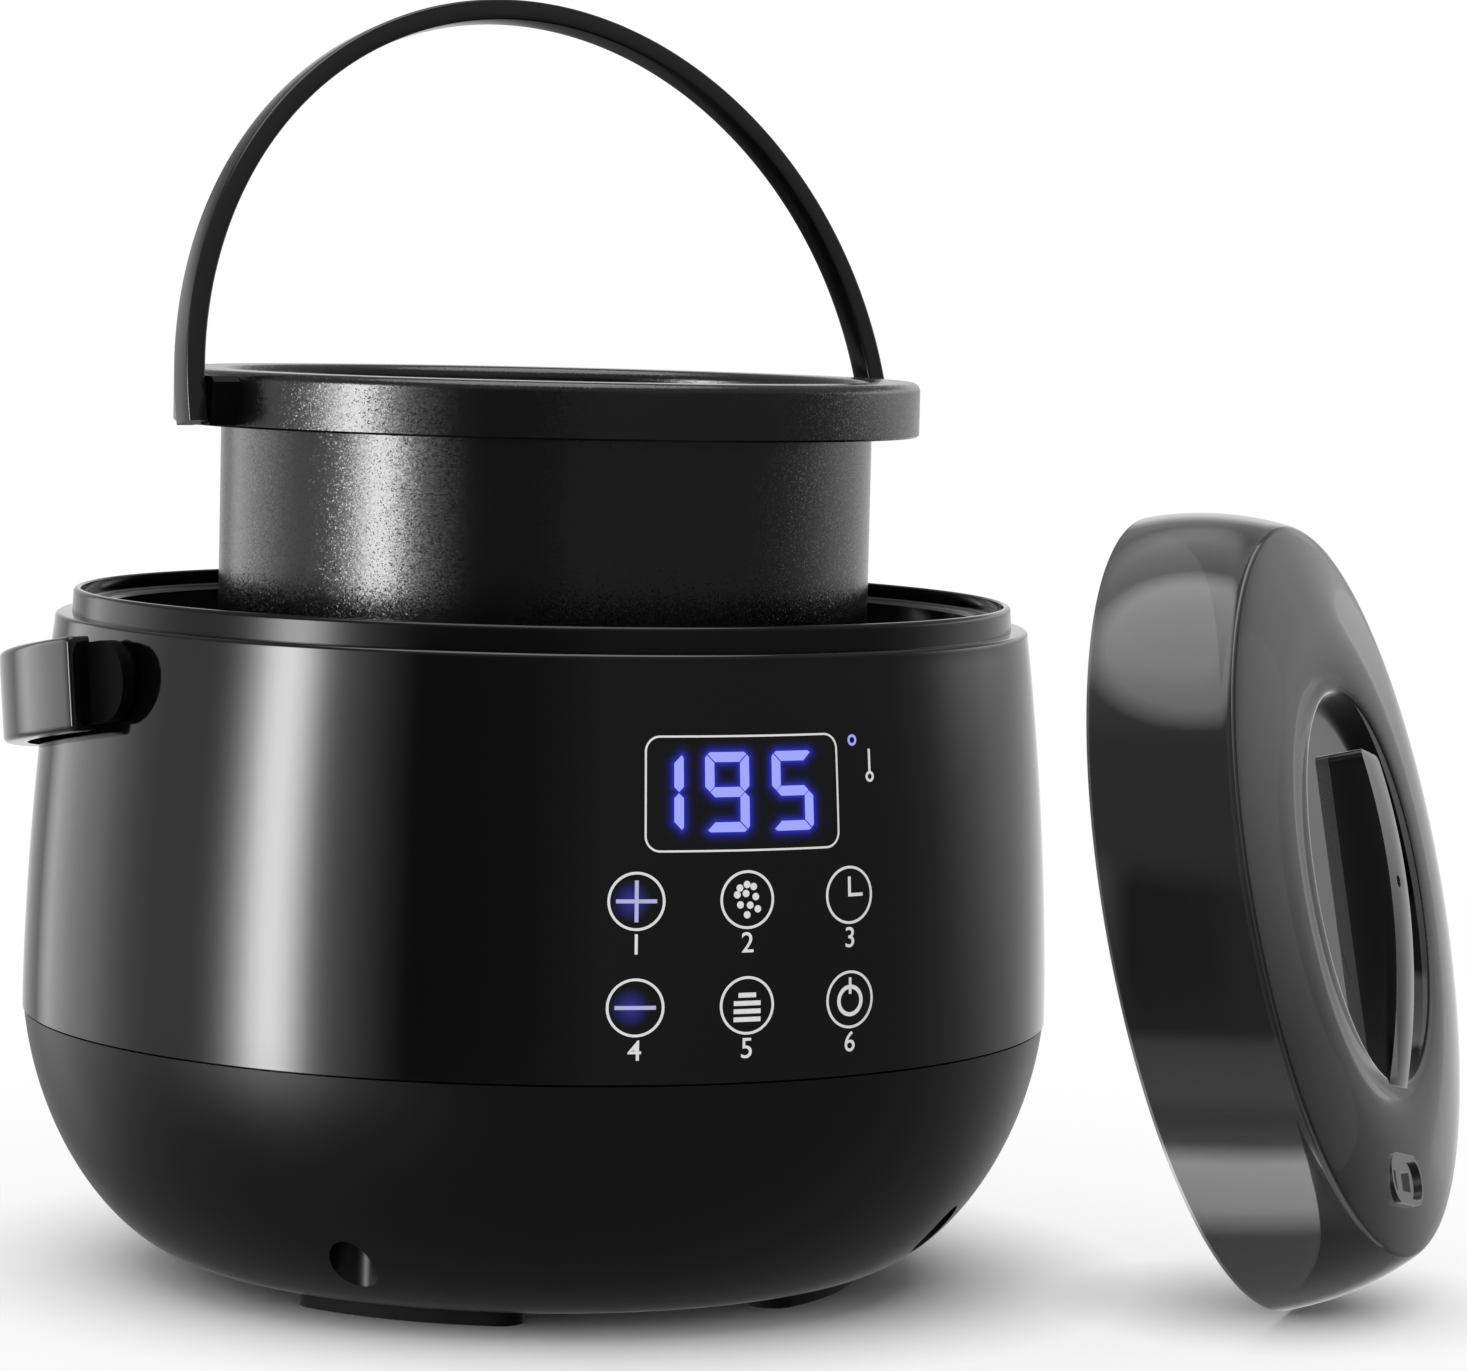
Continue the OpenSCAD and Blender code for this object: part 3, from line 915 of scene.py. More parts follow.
@dataclass
class Shells(SubAssembly):
    """The gloss shell, the satin bowl under it and the ring round the well."""

    body_r: float = 99.5
    seam_z: float = 50.6
    shoulder_r: float = 94.4
    top_z: float = 126.8
    rim_z: float = 131.5
    ring_r: float = 91.0
    wall: float = 2.5
    foot_z: float = 3.0
    floor_r: float = 65.0
    screw_ring: float = 83.2
    boss_r: float = 6.4
    head_r: float = 4.4
    head_z: float = 24.0
    pilot_r: float = 1.7
    vent_pitch: float = 7.0
    vent_w: float = 3.0
    vent_rows: tuple[Point, ...] = ((-44, -20), (34, 52))
    inlet_w: float = 26.1
    inlet_z: Point = (22.0, 39.1)
    inlet_y: Point = (66.0, 106.0)
    vent_z: Point = (2.0, 7.0)
    vents_aside: int = 4
    boss_drop: float = 5.0
    pilot_top: float = 60.0
    pivot_z: float = 117.0
    bush_r: float = 7.0
    bush_x: Point = (80.0, 110.0)
    well_wall: float = 5.6
    deck_drop: float = 11.5
    deck_t: float = 2.6
    chamber_r: float = 63.7
    turn: float = -12.1

    @property
    def upper_line(self) -> list[Point]:
        """Outline of the gloss shell from the seam up."""
        return bezier([(self.body_r, self.seam_z), (self.body_r, self.seam_z + 24.3),
                       (self.shoulder_r + 2.6, self.top_z - 21.8),
                       (self.shoulder_r, self.top_z - 2.4)], 48)

    @property
    def lower_line(self) -> list[Point]:
        """Outline of the bowl from its floor up to the seam."""
        return bezier([(self.floor_r, self.foot_z), (80, self.foot_z + 0.2),
                       (self.body_r - 3, self.seam_z - 25.6),
                       (self.body_r - 0.3, self.seam_z - 0.4)], 56)

    def corner(self, index: int) -> Point:
        """Place of one of the four base screws."""
        angle = math.radians(self.turn + 45 + 90 * index)
        return self.screw_ring * math.sin(angle), -self.screw_ring * math.cos(angle)

    def upper(self) -> bpy.types.Object:
        """Builds the gloss shell.

        Returns:
            The shell, with the two holes for the carry handle's bushes.
        """
        line = self.upper_line
        profile = (line + [(self.shoulder_r - 0.12, self.top_z - 1.2)]
                   + arc((self.shoulder_r - 1.0, self.top_z - 0.85), 0.85, 5, 90, 6)
                   + [(self.ring_r - 3.05, self.top_z), (self.ring_r - 3.05, self.top_z - 2),
                      (self.shoulder_r - self.wall, self.top_z - 2.4)]
                   + shifted(line, -self.wall)[::-1])
        shell = Shape.lathe("shell_gloss", profile, GLOSS_BLACK, 360)
        near, far = self.bush_x
        holes = [Shape.rod("hole", (s * near, 0, self.pivot_z), (s * far, 0, self.pivot_z),
                           self.bush_r, SATIN_BLACK) for s in (-1, 1)]
        return Shape.carve(shell, holes)

    def bowl(self) -> bpy.types.Object:
        """Builds the satin bowl.

        Returns:
            The bowl with its screw bosses, vents, lip and the window for the mains inlet.
        """
        line, wall, floor, seam = self.lower_line, self.wall, self.foot_z, self.seam_z
        edge, top = self.floor_r - 1, seam - self.boss_drop
        inner = [p for p in shifted(line, -wall) if p[0] > edge and p[1] > floor + wall + 0.3]
        # The lip takes the place of the inner line's last three points.
        lip = [(self.body_r - 2.7, seam - 0.4), (self.body_r - 2.7, seam + 3.4),
               (self.body_r - 5.2, seam + 3.4), (self.body_r - 5.2, seam - 3)]
        profile = ([(0, floor)] + line + lip + inner[:-3][::-1]
                   + [(edge, floor + wall), (0, floor + wall)])
        bowl = Shape.lathe("bowl_satin", profile, SATIN_BLACK, 360, closed=False)
        inset = Shape.lathe("inset", [(0, floor)] + shifted(line, -0.6) + [(0, top)],
                            SATIN_BLACK, 180, closed=False)
        places = [self.corner(i) for i in range(4)]
        bosses = [Shape.carve(Shape.rod("boss", (x, y, floor), (x, y, top), self.boss_r,
                                        SATIN_BLACK), [self._copy(inset)], "INTERSECT")
                  for x, y in places]
        Shape.drop(inset)
        Shape.carve(bowl, bosses, "UNION")
        cuts = [Shape.rod("cut", (x, y, -1), (x, y, self.head_z), self.head_r, SATIN_BLACK)
                for x, y in places]
        cuts += [Shape.rod("cut", (x, y, self.head_z - 4), (x, y, self.pilot_top), self.pilot_r,
                           SATIN_BLACK, 32) for x, y in places]
        half, count, (under, over) = self.vent_w / 2, self.vents_aside, self.vent_z
        cuts += [Shape.block("cut", (i * self.vent_pitch - half, low, under),
                             (i * self.vent_pitch + half, high, over), SATIN_BLACK)
                 for i in range(-count, count + 1) for low, high in self.vent_rows]
        cuts.append(Shape.block("cut", (-self.inlet_w / 2, self.inlet_y[0], self.inlet_z[0]),
                                (self.inlet_w / 2, self.inlet_y[1], self.inlet_z[1]),
                                SATIN_BLACK))
        return Shape.carve(bowl, [Shape.joined("cuts", cuts)])

    @staticmethod
    def _copy(piece: bpy.types.Object) -> bpy.types.Object:
        """A second object with its own copy of the mesh."""
        return Shape.link(piece.name + "_copy", piece.data.copy())

    def ring(self) -> bpy.types.Object:
        """Builds the ring round the well.

        Returns:
            The ring with its thin lip, well wall and deck, gloss where it faces up or in.
        """
        r, z = self.ring_r, self.rim_z
        well, deck = r - self.well_wall, z - self.deck_drop
        profile = ([(r, self.top_z + 0.02), (r - 0.2, z - 1.3)]
                   + arc((r - 1.1, z - 0.9), 0.9, 5, 90, 8)
                   + [(r - 1.35, z), (r - 1.6, z - 0.25), (r - 1.65, z - 2.8),
                      (r - 1.95, z - 3.1), (well + 0.5, z - 3.2), (well, z - 3.7),
                      (well, deck + 2)]
                   + arc((well - 2, deck + 2), 2, -10, -90, 8)
                   + [(self.chamber_r, deck), (self.chamber_r, deck - self.deck_t),
                      (r - 3.1, deck - self.deck_t), (r - 3.1, self.top_z + 0.02)])
        ring = Shape.lathe("well_ring", profile, RING_BLACK, 360)
        ring.data.materials.append(GLOSS_BLACK.material())
        for face in ring.data.polygons:
            near = math.hypot(*face.center[:2]) < (well + 4.3) * MM
            if near or face.normal.z > 0.95:
                face.material_index = 1
        return ring

    def build(self) -> None:
        """Builds and dresses the three."""
        self.keep(self.upper(), "base", "gloss_black", "upper_shell")
        self.keep(self.bowl(), "base", "satin_black", "lower_shell")
        self.keep(self.ring(), "base", "satin_black", "top_ring")


@dataclass
class Pot(SubAssembly):
    """The coated pot with its turned-down rim, and the bail."""

    radius: float = 63.0
    floor_z: float = 79.5
    height: float = 94.8
    skirt_r: float = 72.2
    skirt_h: float = 10.5
    wall: float = 1.5
    bail_r: float = 82.2
    bail_t: float = 4.0
    bail_w: float = 5.6
    bail_z: float = 168.8
    bail_lean: float = 12.0
    pin_r: float = 2.26
    base_round: float = 6.0
    mouth_round: float = 2.2
    skirt_round: float = 1.8

    def pot(self) -> bpy.types.Object:
        """Builds the pot.

        Returns:
            The pot, thin-walled, with its rim turned out and down.
        """
        r, lip, skirt, wall = self.radius, self.height, self.skirt_r, self.wall
        foot, low = self.base_round, self.height - self.skirt_h
        line = ([(0, 0)] + arc((r - foot, foot), foot, -90, 0, 12)
                + [(r, lip - 3.2), (r + 1.2, lip - wall), (skirt - wall, lip - wall),
                   (skirt - wall, low + 0.4), (skirt - wall + 0.4, low),
                   (skirt - 0.4, low), (skirt, low + 0.4)]
                + arc((skirt - self.skirt_round, lip - self.skirt_round),
                      self.skirt_round, 0, 90, 8)
                + arc((r + 0.7, lip - self.mouth_round), self.mouth_round, 90, 180, 8)
                + arc((r - foot, foot), foot - wall, 0, -90, 12) + [(0, wall)])
        return Shape.lathe("pot_coated", [(x, z + self.floor_z) for x, z in line], COATED, 320,
                           closed=False)

    def bail(self) -> bpy.types.Object:
        """Builds the bail.

        Returns:
            The bail, leaning back as at rest, with its two pivot holes.
        """
        mid = self.bail_r - self.bail_t / 2
        path = [(mid, -4.2)] + arc((0, -3), mid, 0, 180, 128) + [(-mid, -4.2)]
        piece = Shape.sweep("bail_arch", path, self.bail_t, self.bail_w, 0.7, BAIL_BLACK)
        lean = math.radians(-self.bail_lean)
        Shape.move(piece, Matrix.Translation((0, 0, self.bail_z * MM))
                   @ Matrix.Rotation(lean, 4, "X") @ Matrix.Rotation(math.pi / 2, 4, "X"))
        end = self.bail_r - 0.9
        holes = [Shape.rod("hole", (s * 70, 0, self.bail_z), (s * end, 0, self.bail_z),
                           self.pin_r, GLOSS_BLACK, 40) for s in (-1, 1)]
        return Shape.carve(piece, holes)

    def build(self) -> None:
        """Builds and dresses both."""
        self.keep(self.pot(), "pot_body", "nonstick_aluminium", "pot")
        self.keep(self.bail(), "bail_body", "gloss_black", "bail")


@dataclass
class CarryHandle(SubAssembly):
    """The U-shaped carry handle: a satin core under a gloss cover."""

    grip_r: float = 103.3
    grip_h: float = 17.5
    droop: float = 8.0
    pivot_z: float = 117.0
    setback: float = 2.5
    lug_r: float = 7.5
    lug_x: Point = (96.75, 99.35)
    lug_y: float = -2.5
    link_half: float = 1.3
    link_y: Point = (-2.4, 5.6)
    stud_in: float = 89.2
    stud_r: float = 4.5
    bore_r: float = 1.6
    bore_x: Point = (88.2, 96.2)
    end_round: float = 1.3

    @property
    def core_in(self) -> float:
        """Inner radius of the core."""
        return self.grip_r - 5.3

    def _bow(self, name: str, profile: Sequence[Point], finish: Finish) -> bpy.types.Object:
        """Half a turn of a profile, on the side away from the panel.

        Args:
            name: The piece's name.
            profile: Radius and height points in mm.
            finish: The finish.

        Returns:
            The piece, level and set back from the pivots.
        """
        bow = Shape.lathe(name, profile, finish, 256)
        half = Shape.block("half", (-150, -150, -50), (150, 0, 50), finish)
        back = Matrix.Translation((0, self.setback * MM, 0))
        return Shape.move(Shape.carve(bow, [half]), back)

    def _hang(self, piece: bpy.types.Object) -> bpy.types.Object:
        """Tips a level piece by the droop and lifts it to the pivots."""
        return Shape.move(piece, Matrix.Translation((0, 0, self.pivot_z * MM))
                          @ Matrix.Rotation(math.radians(-self.droop), 4, "X"))

    def core(self) -> bpy.types.Object:
        """Builds the core.

        Returns:
            The core with a round-ended lug and a stud at either end.
        """
        low, high, r = -self.grip_h / 2 + 1.6, self.grip_h / 2 - 1.6, self.core_in
        core = self._bow("handle_core", [(r, low + 0.4), (r + 0.4, low), (r + 3.2, low),
                                         (r + 3.2, high), (r + 0.4, high), (r, high - 0.4)],
                         MATT_BLACK)
        (near, far), lug = self.lug_x, self.lug_r
        middle, half, (front, back) = (near + far) / 2, self.link_half, self.link_y
        parts = []
        for s in (-1, 1):
            parts.append(Shape.rod("lug", (s * near, self.lug_y, 0), (s * far, self.lug_y, 0),
                                   lug, MATT_BLACK))
            parts.append(Shape.block("link", (s * middle - half, front, -lug),
                                     (s * middle + half, back, lug), MATT_BLACK))
            parts.append(Shape.rod("stud", (s * self.stud_in, 0, 0), (s * r, 0, 0), self.stud_r,
                                   MATT_BLACK))
        Shape.carve(core, parts, "UNION")
        bores = [Shape.rod("bore", (s * self.bore_x[0], 0, 0), (s * self.bore_x[1], 0, 0),
                           self.bore_r, MATT_BLACK, 32) for s in (-1, 1)]
        return self._hang(Shape.carve(core, bores))

    def cover(self) -> bpy.types.Object:
        """Builds the cover.

        Returns:
            The gloss cover, which wraps the core's outer side, with rounded ends.
        """
        r, high, outer = self.core_in, self.grip_h / 2, self.grip_r
        profile = ([(r + 0.8, -high), (outer - 1.2, -high)]
                   + arc((outer - 1.2, -high + 1.2), 1.2, -60, 0, 5)
                   + arc((outer - 1.2, high - 1.2), 1.2, 0, 90, 6)
                   + [(r + 0.8, high), (r + 0.8, high - 1.55), (r + 3.25, high - 1.55),
                      (r + 3.25, -high + 1), (r + 0.8, -high + 1)])
        cover = self._bow("handle_shell", profile, GLOSS_BLACK)
        work = bmesh.new()
        work.from_mesh(cover.data)
        rim = [edge for edge in work.edges if all(
            abs(v.co.y - self.setback * MM) < 0.1 * MM
            and (abs(v.co.x) > (r + 3.3) * MM or abs(v.co.z) > (high - 0.01) * MM)
            for v in edge.verts)]
        bmesh.ops.bevel(work, geom=rim, offset=self.end_round * MM, segments=4, profile=0.5,
                        affect="EDGES", clamp_overlap=True)
        work.to_mesh(cover.data)
        work.free()
        Shape.face_out(cover.data)
        return self._hang(cover)

    def build(self) -> None:
        """Builds and dresses both."""
        self.keep(self.core(), "carry", "satin_black", "carry_handle")
        self.keep(self.cover(), "carry", "gloss_black", "handle_cover")


@dataclass
class Lid(SubAssembly):
    """The smoke-clear lid that stands on its rim beside the body."""

    radius: float = 76.9
    height: float = 25.6
    dish_r: float = 37.8
    bar_w: float = 12.4
    bar_end: float = 25.5
    bar_arch: float = 139.0
    bar_rise: float = 9.1
    dimple_r: float = 1.2
    dimple_rise: float = 8.4
    vent_at: float = 56.0
    vent_r: float = 4.7
    vent_half: float = 6.0
    turn: float = 32.9
    up: float = 13.0
    roll: float = -12.2
    foot: tuple[float, float] = (95.0, -94.4)

    @property
    def outside(self) -> list[Point]:
        """Profile of the outer face.

        Returns:
            Radius and height points from the rim to the middle, in mm.
        """
        r, h, d = self.radius, self.height, self.dish_r
        return (bezier([(r, 0), (r - .2, h * .4), (r - 3.4, h * .75), (r - 6.2, h - 1)], 18)
                + [(r - 6.7, h - 0.35), (r - 7.1, h + 0.05)]
                + bezier([(r - 7.6, h + .2), (r - 14, h + 1.8), (d + 14, h + 3.6),
                          (d + 6, h + 3.8)], 14)
                + bezier([(d + 4, h + 3.8), (d + 2, h + 3.8), (d + .6, h + 3.7),
                          (d, h + 3.3)], 6)
                + bezier([(d - .2, h + 3.0), (d - .5, h + 1.6), (d - .9, h - .6),
                          (d - 2.2, h - 1.6)], 6)
                + bezier([(d - 3, h - 2.1), (d - 6, h - 2.3), (d * .4, h - 2.3),
                          (0, h - 2.3)], 14))

    @property
    def inside(self) -> list[Point]:
        """Profile of the inner face.

        Returns:
            Radius and height points from the rim to the middle, in mm.
        """
        r, h, d = self.radius, self.height, self.dish_r
        return ([(r - 2.2, 0)]
                + bezier([(r - 2.2, 1), (r - 2.4, h * .4), (r - 5.4, h * .75),
                          (r - 8.6, h - 2.2)], 18)
                + bezier([(r - 10, h - 1.9), (r - 26, h + 1.4), (d + 14, h + 1.7),
                          (d + 5, h + 1.7)], 12)
                + bezier([(d + 3.2, h + 1.3), (d + 1.8, h - 1), (d + .6, h - 4.1),
                          (d - 3, h - 4.5)], 10)
                + [(d * .5, h - 4.5), (0, h - 4.5)])

    @property
    def place(self) -> Matrix:
        """Where the lid stands.

        Returns:
            The move from a lid that lies on its rim to the one that stands on its edge.
        """
        up = math.radians(90 - self.up)
        lift = self.radius * math.cos(math.radians(self.up))
        return (Matrix.Translation(Vector((*self.foot, lift)) * MM)
                @ Matrix.Rotation(math.radians(self.turn), 4, "Z")
                @ Matrix.Rotation(up, 4, "X")
                @ Matrix.Rotation(math.radians(self.roll), 4, "Z"))

    def bar(self) -> bpy.types.Object:
        """Builds the arched finger bar.

        Returns:
            The bar, open to the lid's inside along its foot.
        """
        w, end, low = self.bar_w / 2, self.bar_end, -self.bar_end - 22
        outline = ([(-w, low), (w, low)] + arc((w - 1.6, end - 1.6), 1.6, 0, 90, 6)
                   + arc((-w + 1.6, end - 1.6), 1.6, 90, 180, 6))
        # The bar takes the dish's painted shade.
        bar = Shape.prism("finger_bar", outline, self.height - 8, self.height + 12, SMOKE_DISH_SHADE)
        centre = self.height + self.bar_rise - self.bar_arch
        arch = Shape.rod("arch", (-20, 0, centre), (20, 0, centre), self.bar_arch, SMOKE_DISH_SHADE, 720)
        Shape.carve(bar, [arch], "INTERSECT")
        Shape.soften(bar, 0.5, 50)
        under = Shape.lathe("under", [(0, -1), (self.radius - 2.2, -1)] + self.inside,
                            SMOKE, 240, closed=False)
        return Shape.carve(bar, [under])

    def shell(self) -> bpy.types.Object:
        """Builds the lid.

        Returns:
            The lid with its finger bar, dimple and vent hole, standing in its place.
        """
        profile = self.outside[::-1] + self.inside
        lid = Shape.lathe("lid_clear", profile, SMOKE, 300, closed=False)
        Shape.carve(lid, [self.bar()], "UNION")
        plug = (arc((self.vent_half, -self.vent_at), self.vent_r, -90, 90, 24)
                + arc((-self.vent_half, -self.vent_at), self.vent_r, 90, 270, 24))
        hole = Shape.prism("hole", plug, self.height - 6, self.height + 10, SMOKE)
        dimple = Shape.rod("dimple", (0, 0, self.height + self.dimple_rise),
                           (0, 0, self.height + 12), self.dimple_r, SMOKE_DISH_SHADE, 32)
        Shape.carve(lid, [hole, dimple])
        painted_slot = len(lid.data.materials)
        for finish in (SMOKE_DISH_SHADE, SMOKE_SIDE_PAINTED):
            lid.data.materials.append(finish.material())
        for face in lid.data.polygons:
            out, up = Vector(face.center[:2]).length / MM, face.center.z / MM
            # The dish's faces take the painted shade.
            if out < self.dish_r + 0.2:
                face.material_index = painted_slot
            # The side wall's faces take the painted reflection and shade bands.
            elif out > self.radius - 8.7 and up < self.height - 0.5:
                face.material_index = painted_slot + 1
        return Shape.move(lid, self.place)

    def build(self) -> None:
        """Builds and dresses the lid, whose reflection would darken the gloss shell."""
        lid = self.keep(self.shell(), "lid_body", "smoke_clear", "lid")
        lid.visible_glossy = False


@dataclass
class ControlPanel(SubAssembly):
    """Printed marks, lit digits and touch keys on the gloss shell."""

    shells: Shells = field(default_factory=Shells)
    across: float = 98.0
    lift: float = 0.05
    sunk: float = 0.04
    facets: tuple[float, float] = (1.2, 2.5)
    key_z: tuple[float, float] = (83.3, 64.4)
    key_at: tuple[float, float, float] = (-12.1, 0.0, 12.5)
    key_r: float = 5.0
    key_line: float = 0.48
    sign_half: float = 3.7
    sign_line: float = 0.7
    sign_lift: float = 0.07
    cross_lift: float = 0.075
    bloom_shift: float = -0.9
    bloom_lift: float = 0.03
    bloom_step: float = 0.4
    bloom_reach: float = 0.55
    grains: tuple[Point, ...] = (
        (-1.5, 2.1), (-.1, 2.7), (1.2, 2.3), (-2, .9), (-.3, 1.1), (1.6, .5), (-1.4, -.9),
        (.5, -1.0), (2, -1.7), (-.1, -2.7))
    grain_ring: Point = (0.34, 0.64)
    figure_size: float = 5.2
    figure_drop: float = 9.4
    gauge_at: float = 15.7
    gauge_z: tuple[float, float, float] = (104.4, 105.2, 109.4)
    gauge_ring: Point = (0.75, 0.5)
    degree_at: Point = (13.4, 111.1)
    degree_ring: Point = (0.8, 0.45)
    window: tuple[float, float, float] = (11.2, 92.1, 112.4)
    window_round: float = 2.7
    window_line: float = 0.37
    digit_at: tuple[float, float, float] = (-7.6, -2.2, 5.5)
    digits: str = "195"
    digit_z: tuple[float, float] = (95.4, 109.6)
    digit_lift: float = 0.1

    def along(self, degrees: float) -> float:
        """Distance along the shell for an angle from the panel's middle."""
        return math.radians(degrees) * self.across

    def wrap(self, name: str, flat: bmesh.types.BMesh, finish: Dress,
             lift: float | None = None) -> bpy.types.Object:
        """Bends a flat drawing onto the shell as a thin closed layer.

        Args:
            name: The piece's name.
            flat: Faces in the plane z = 0, x along the shell and y upwards, in mm. They
                are used up.
            finish: The finish.
            lift: How far the outer face stands off the shell, in mm.

        Returns:
            The piece.
        """
        spans = [[v.co[axis] for v in flat.verts] for axis in (0, 1)]
        for axis, (span, step) in enumerate(zip(spans, self.facets)):
            low = min(span)
            for i in range(1, int((max(span) - low) / step) + 1):
                at, normal = [0.0, 0.0, 0.0], [0.0, 0.0, 0.0]
                at[axis], normal[axis] = low + i * step, 1.0
                bmesh.ops.bisect_plane(flat, geom=flat.verts[:] + flat.edges[:] + flat.faces[:],
                                       plane_co=at, plane_no=normal, dist=1e-5)
        glow = flat.verts.layers.float.get("glow")
        line, lift = self.shells.upper_line, self.lift if lift is None else lift
        work = bmesh.new()
        layer = work.verts.layers.float.new("glow") if glow else None
        sides: list[dict[Any, Any]] = [{}, {}]
        for side, off in zip(sides, (lift, -self.sunk)):
            for v in flat.verts:
                angle = math.radians(self.shells.turn) + v.co.x / self.across
                r = radius_at(line, v.co.y) + off
                side[v] = work.verts.new(Vector((r * math.sin(angle), -r * math.cos(angle),
                                                 v.co.y)) * MM)
                if layer:
                    side[v][layer] = v[glow]
        for face in flat.faces:
            work.faces.new([sides[0][v] for v in face.verts])
            work.faces.new([sides[1][v] for v in reversed(face.verts)])
        for edge in flat.edges:
            if len(edge.link_faces) == 1:
                a, b = edge.verts
                work.faces.new([sides[0][a], sides[1][a], sides[1][b], sides[0][b]])
        bmesh.ops.recalc_face_normals(work, faces=work.faces)
        flat.free()
        mesh = Shape.mesh(name, work, finish.material())
        Shape.face_out(mesh, 40)
        return Shape.link(name, mesh)

    @staticmethod
    def polygon(flat: bmesh.types.BMesh, points: Sequence[Point]) -> None:
        """Adds one outline to a flat drawing.

        Args:
            flat: The drawing.
            points: The outline, in mm.
        """
        face = flat.faces.new([flat.verts.new((x, y, 0.0)) for x, y in points])
        face.normal_update()
        if face.normal.z < 0:
            face.normal_flip()

    def stroke(self, flat: bmesh.types.BMesh, start: Point, end: Point, width: float) -> None:
        """Adds a straight line with square ends to a flat drawing.

        Args:
            flat: The drawing.
            start: One end of its middle line, in mm.
            end: The other end.
            width: The line's width in mm.
        """
        a, b = Vector(start), Vector(end)
        side = (b - a).orthogonal().normalized() * width / 2
        self.polygon(flat, [tuple(p) for p in (a + side, b + side, b - side, a - side)])

    def band(self, flat: bmesh.types.BMesh, points: Sequence[Point], width: float) -> None:
        """Adds a closed line of even width to a flat drawing.

        Args:
            flat: The drawing.
            points: The middle line's points, in mm.
            width: The line's width in mm.
        """
        count = len(points)
        rows = []
        for i, p in enumerate(points):
            before, after = Vector(points[i - 1]), Vector(points[(i + 1) % count])
            side = (after - before).orthogonal().normalized() * width / 2
            here = Vector(p)
            rows.append([flat.verts.new((*(here + side), 0.0)),
                         flat.verts.new((*(here - side), 0.0))])
        for i in range(count):
            (a, b), (c, d) = rows[i - 1], rows[i]
            flat.faces.new([a, b, d, c])

    def stamped(self, name: str, places: Sequence[Point], radius: float, width: float,
                sides: int) -> bmesh.types.BMesh:
        """Rings or dots of one size at several places, by a node tree.

        Args:
            name: The drawing's name.
            places: The middles, in mm.
            radius: Radius of the middle of the line, in mm.
            width: The line's width in mm; twice the radius makes a dot.
            sides: How many sides each has.

        Returns:
            The flat drawing, in mm.
        """
        def body(maker: Maker, given: dict[str, Sock]) -> Sock:
            """Sweeps a short line round a circle and sets it at every point.

            Args:
                maker: The tree's maker.
                given: The tree's inputs.

            Returns:
                The rings.
            """
            ring = maker.node("GeometryNodeCurvePrimitiveCircle", None,
                              {"Resolution": given["Sides"], "Radius": given["Radius"]})
            half = given["Width"] * 0.5
            ends = [maker.node("ShaderNodeCombineXYZ", None, {0: half * sign}) for sign in (-1, 1)]
            line = maker.node("GeometryNodeCurvePrimitiveLine", None,
                              {"Start": ends[0], "End": ends[1]})
            ring = maker.node("GeometryNodeCurveToMesh", None,
                              {"Curve": ring, "Profile Curve": line})
            points = maker.node("GeometryNodeMeshToPoints", None, {"Mesh": given["Geometry"]})
            return maker.node("GeometryNodeInstanceOnPoints", None,
                              {"Points": points, "Instance": ring})

        tree = Shape.tree("Stamp", (("Sides", "NodeSocketInt"), ("Radius", "NodeSocketFloat"),
                                    ("Width", "NodeSocketFloat")), body)
        piece = Shape.grown(name, [(x, y, 0.0) for x, y in places], [], tree, GLOWING_PRINT,
                            closed=False, sides=sides, radius=radius, width=width)
        flat = bmesh.new()
        flat.from_mesh(piece.data)
        Shape.drop(piece)
        bmesh.ops.remove_doubles(flat, verts=flat.verts, dist=1e-4)
        for face in flat.faces:
            if face.normal.z < 0:
                face.normal_flip()
        return flat

    def segments(self) -> list[list[Point]]:
        """Draws the lit segments, mitred at the corners with a thin gap.

        Returns:
            Their outlines, in mm. In them t is half a segment's width, d half the gap, w and
            h half the digit's size between middle lines, and n and k its cut corners.
        """
        t, d, w, n, k = 0.88, 0.11, 3.4, 0.9, 0.35
        middle, h = sum(self.digit_z) / 2, (self.digit_z[1] - self.digit_z[0]) / 2 - t
        m = d * math.sqrt(2)
        side = [(w, d), (w + t, d + t), (w + t, h + t - n - d), (w + t - k, h + t - k - m),
                (w - t, h - t - m), (w - t, d + t)]
        right = [(w - t - m, h - t), (w + t - k - m, h + t - k), (w + t - n - d, h + t)]
        top = right + [(-x, z) for x, z in right[::-1]]
        bar = [(w - d, 0), (w - t - d, t), (-w + t + d, t), (-w + d, 0), (-w + t + d, -t),
               (w - t - d, -t)]

        def flipped(line: list[Point], x_sign: int, z_sign: int) -> list[Point]:
            """An outline mirrored in the digit's middle lines."""
            return [(x * x_sign, z * z_sign) for x, z in line]

        shapes = {"a": top, "b": side, "c": flipped(side, 1, -1), "d": flipped(top, 1, -1),
                  "e": flipped(side, -1, -1), "f": flipped(side, -1, 1), "g": bar}
        parts = {"1": "bc", "9": "abcdfg", "5": "afgcd"}
        found = []
        for degrees, digit in zip(self.digit_at, self.digits):
            at = self.along(degrees) - (w if digit == "1" else 0.0)
            found += [[(x + at, z + middle) for x, z in shapes[k]] for k in parts[digit]]
        return found

    def lit_digits(self) -> bpy.types.Object:
        """Builds the lit segments.

        Returns:
            The piece.
        """
        flat = bmesh.new()
        for outline in self.segments():
            self.polygon(flat, outline)
        return self.wrap("lit_digits", flat, LIT_DIGIT, self.digit_lift)

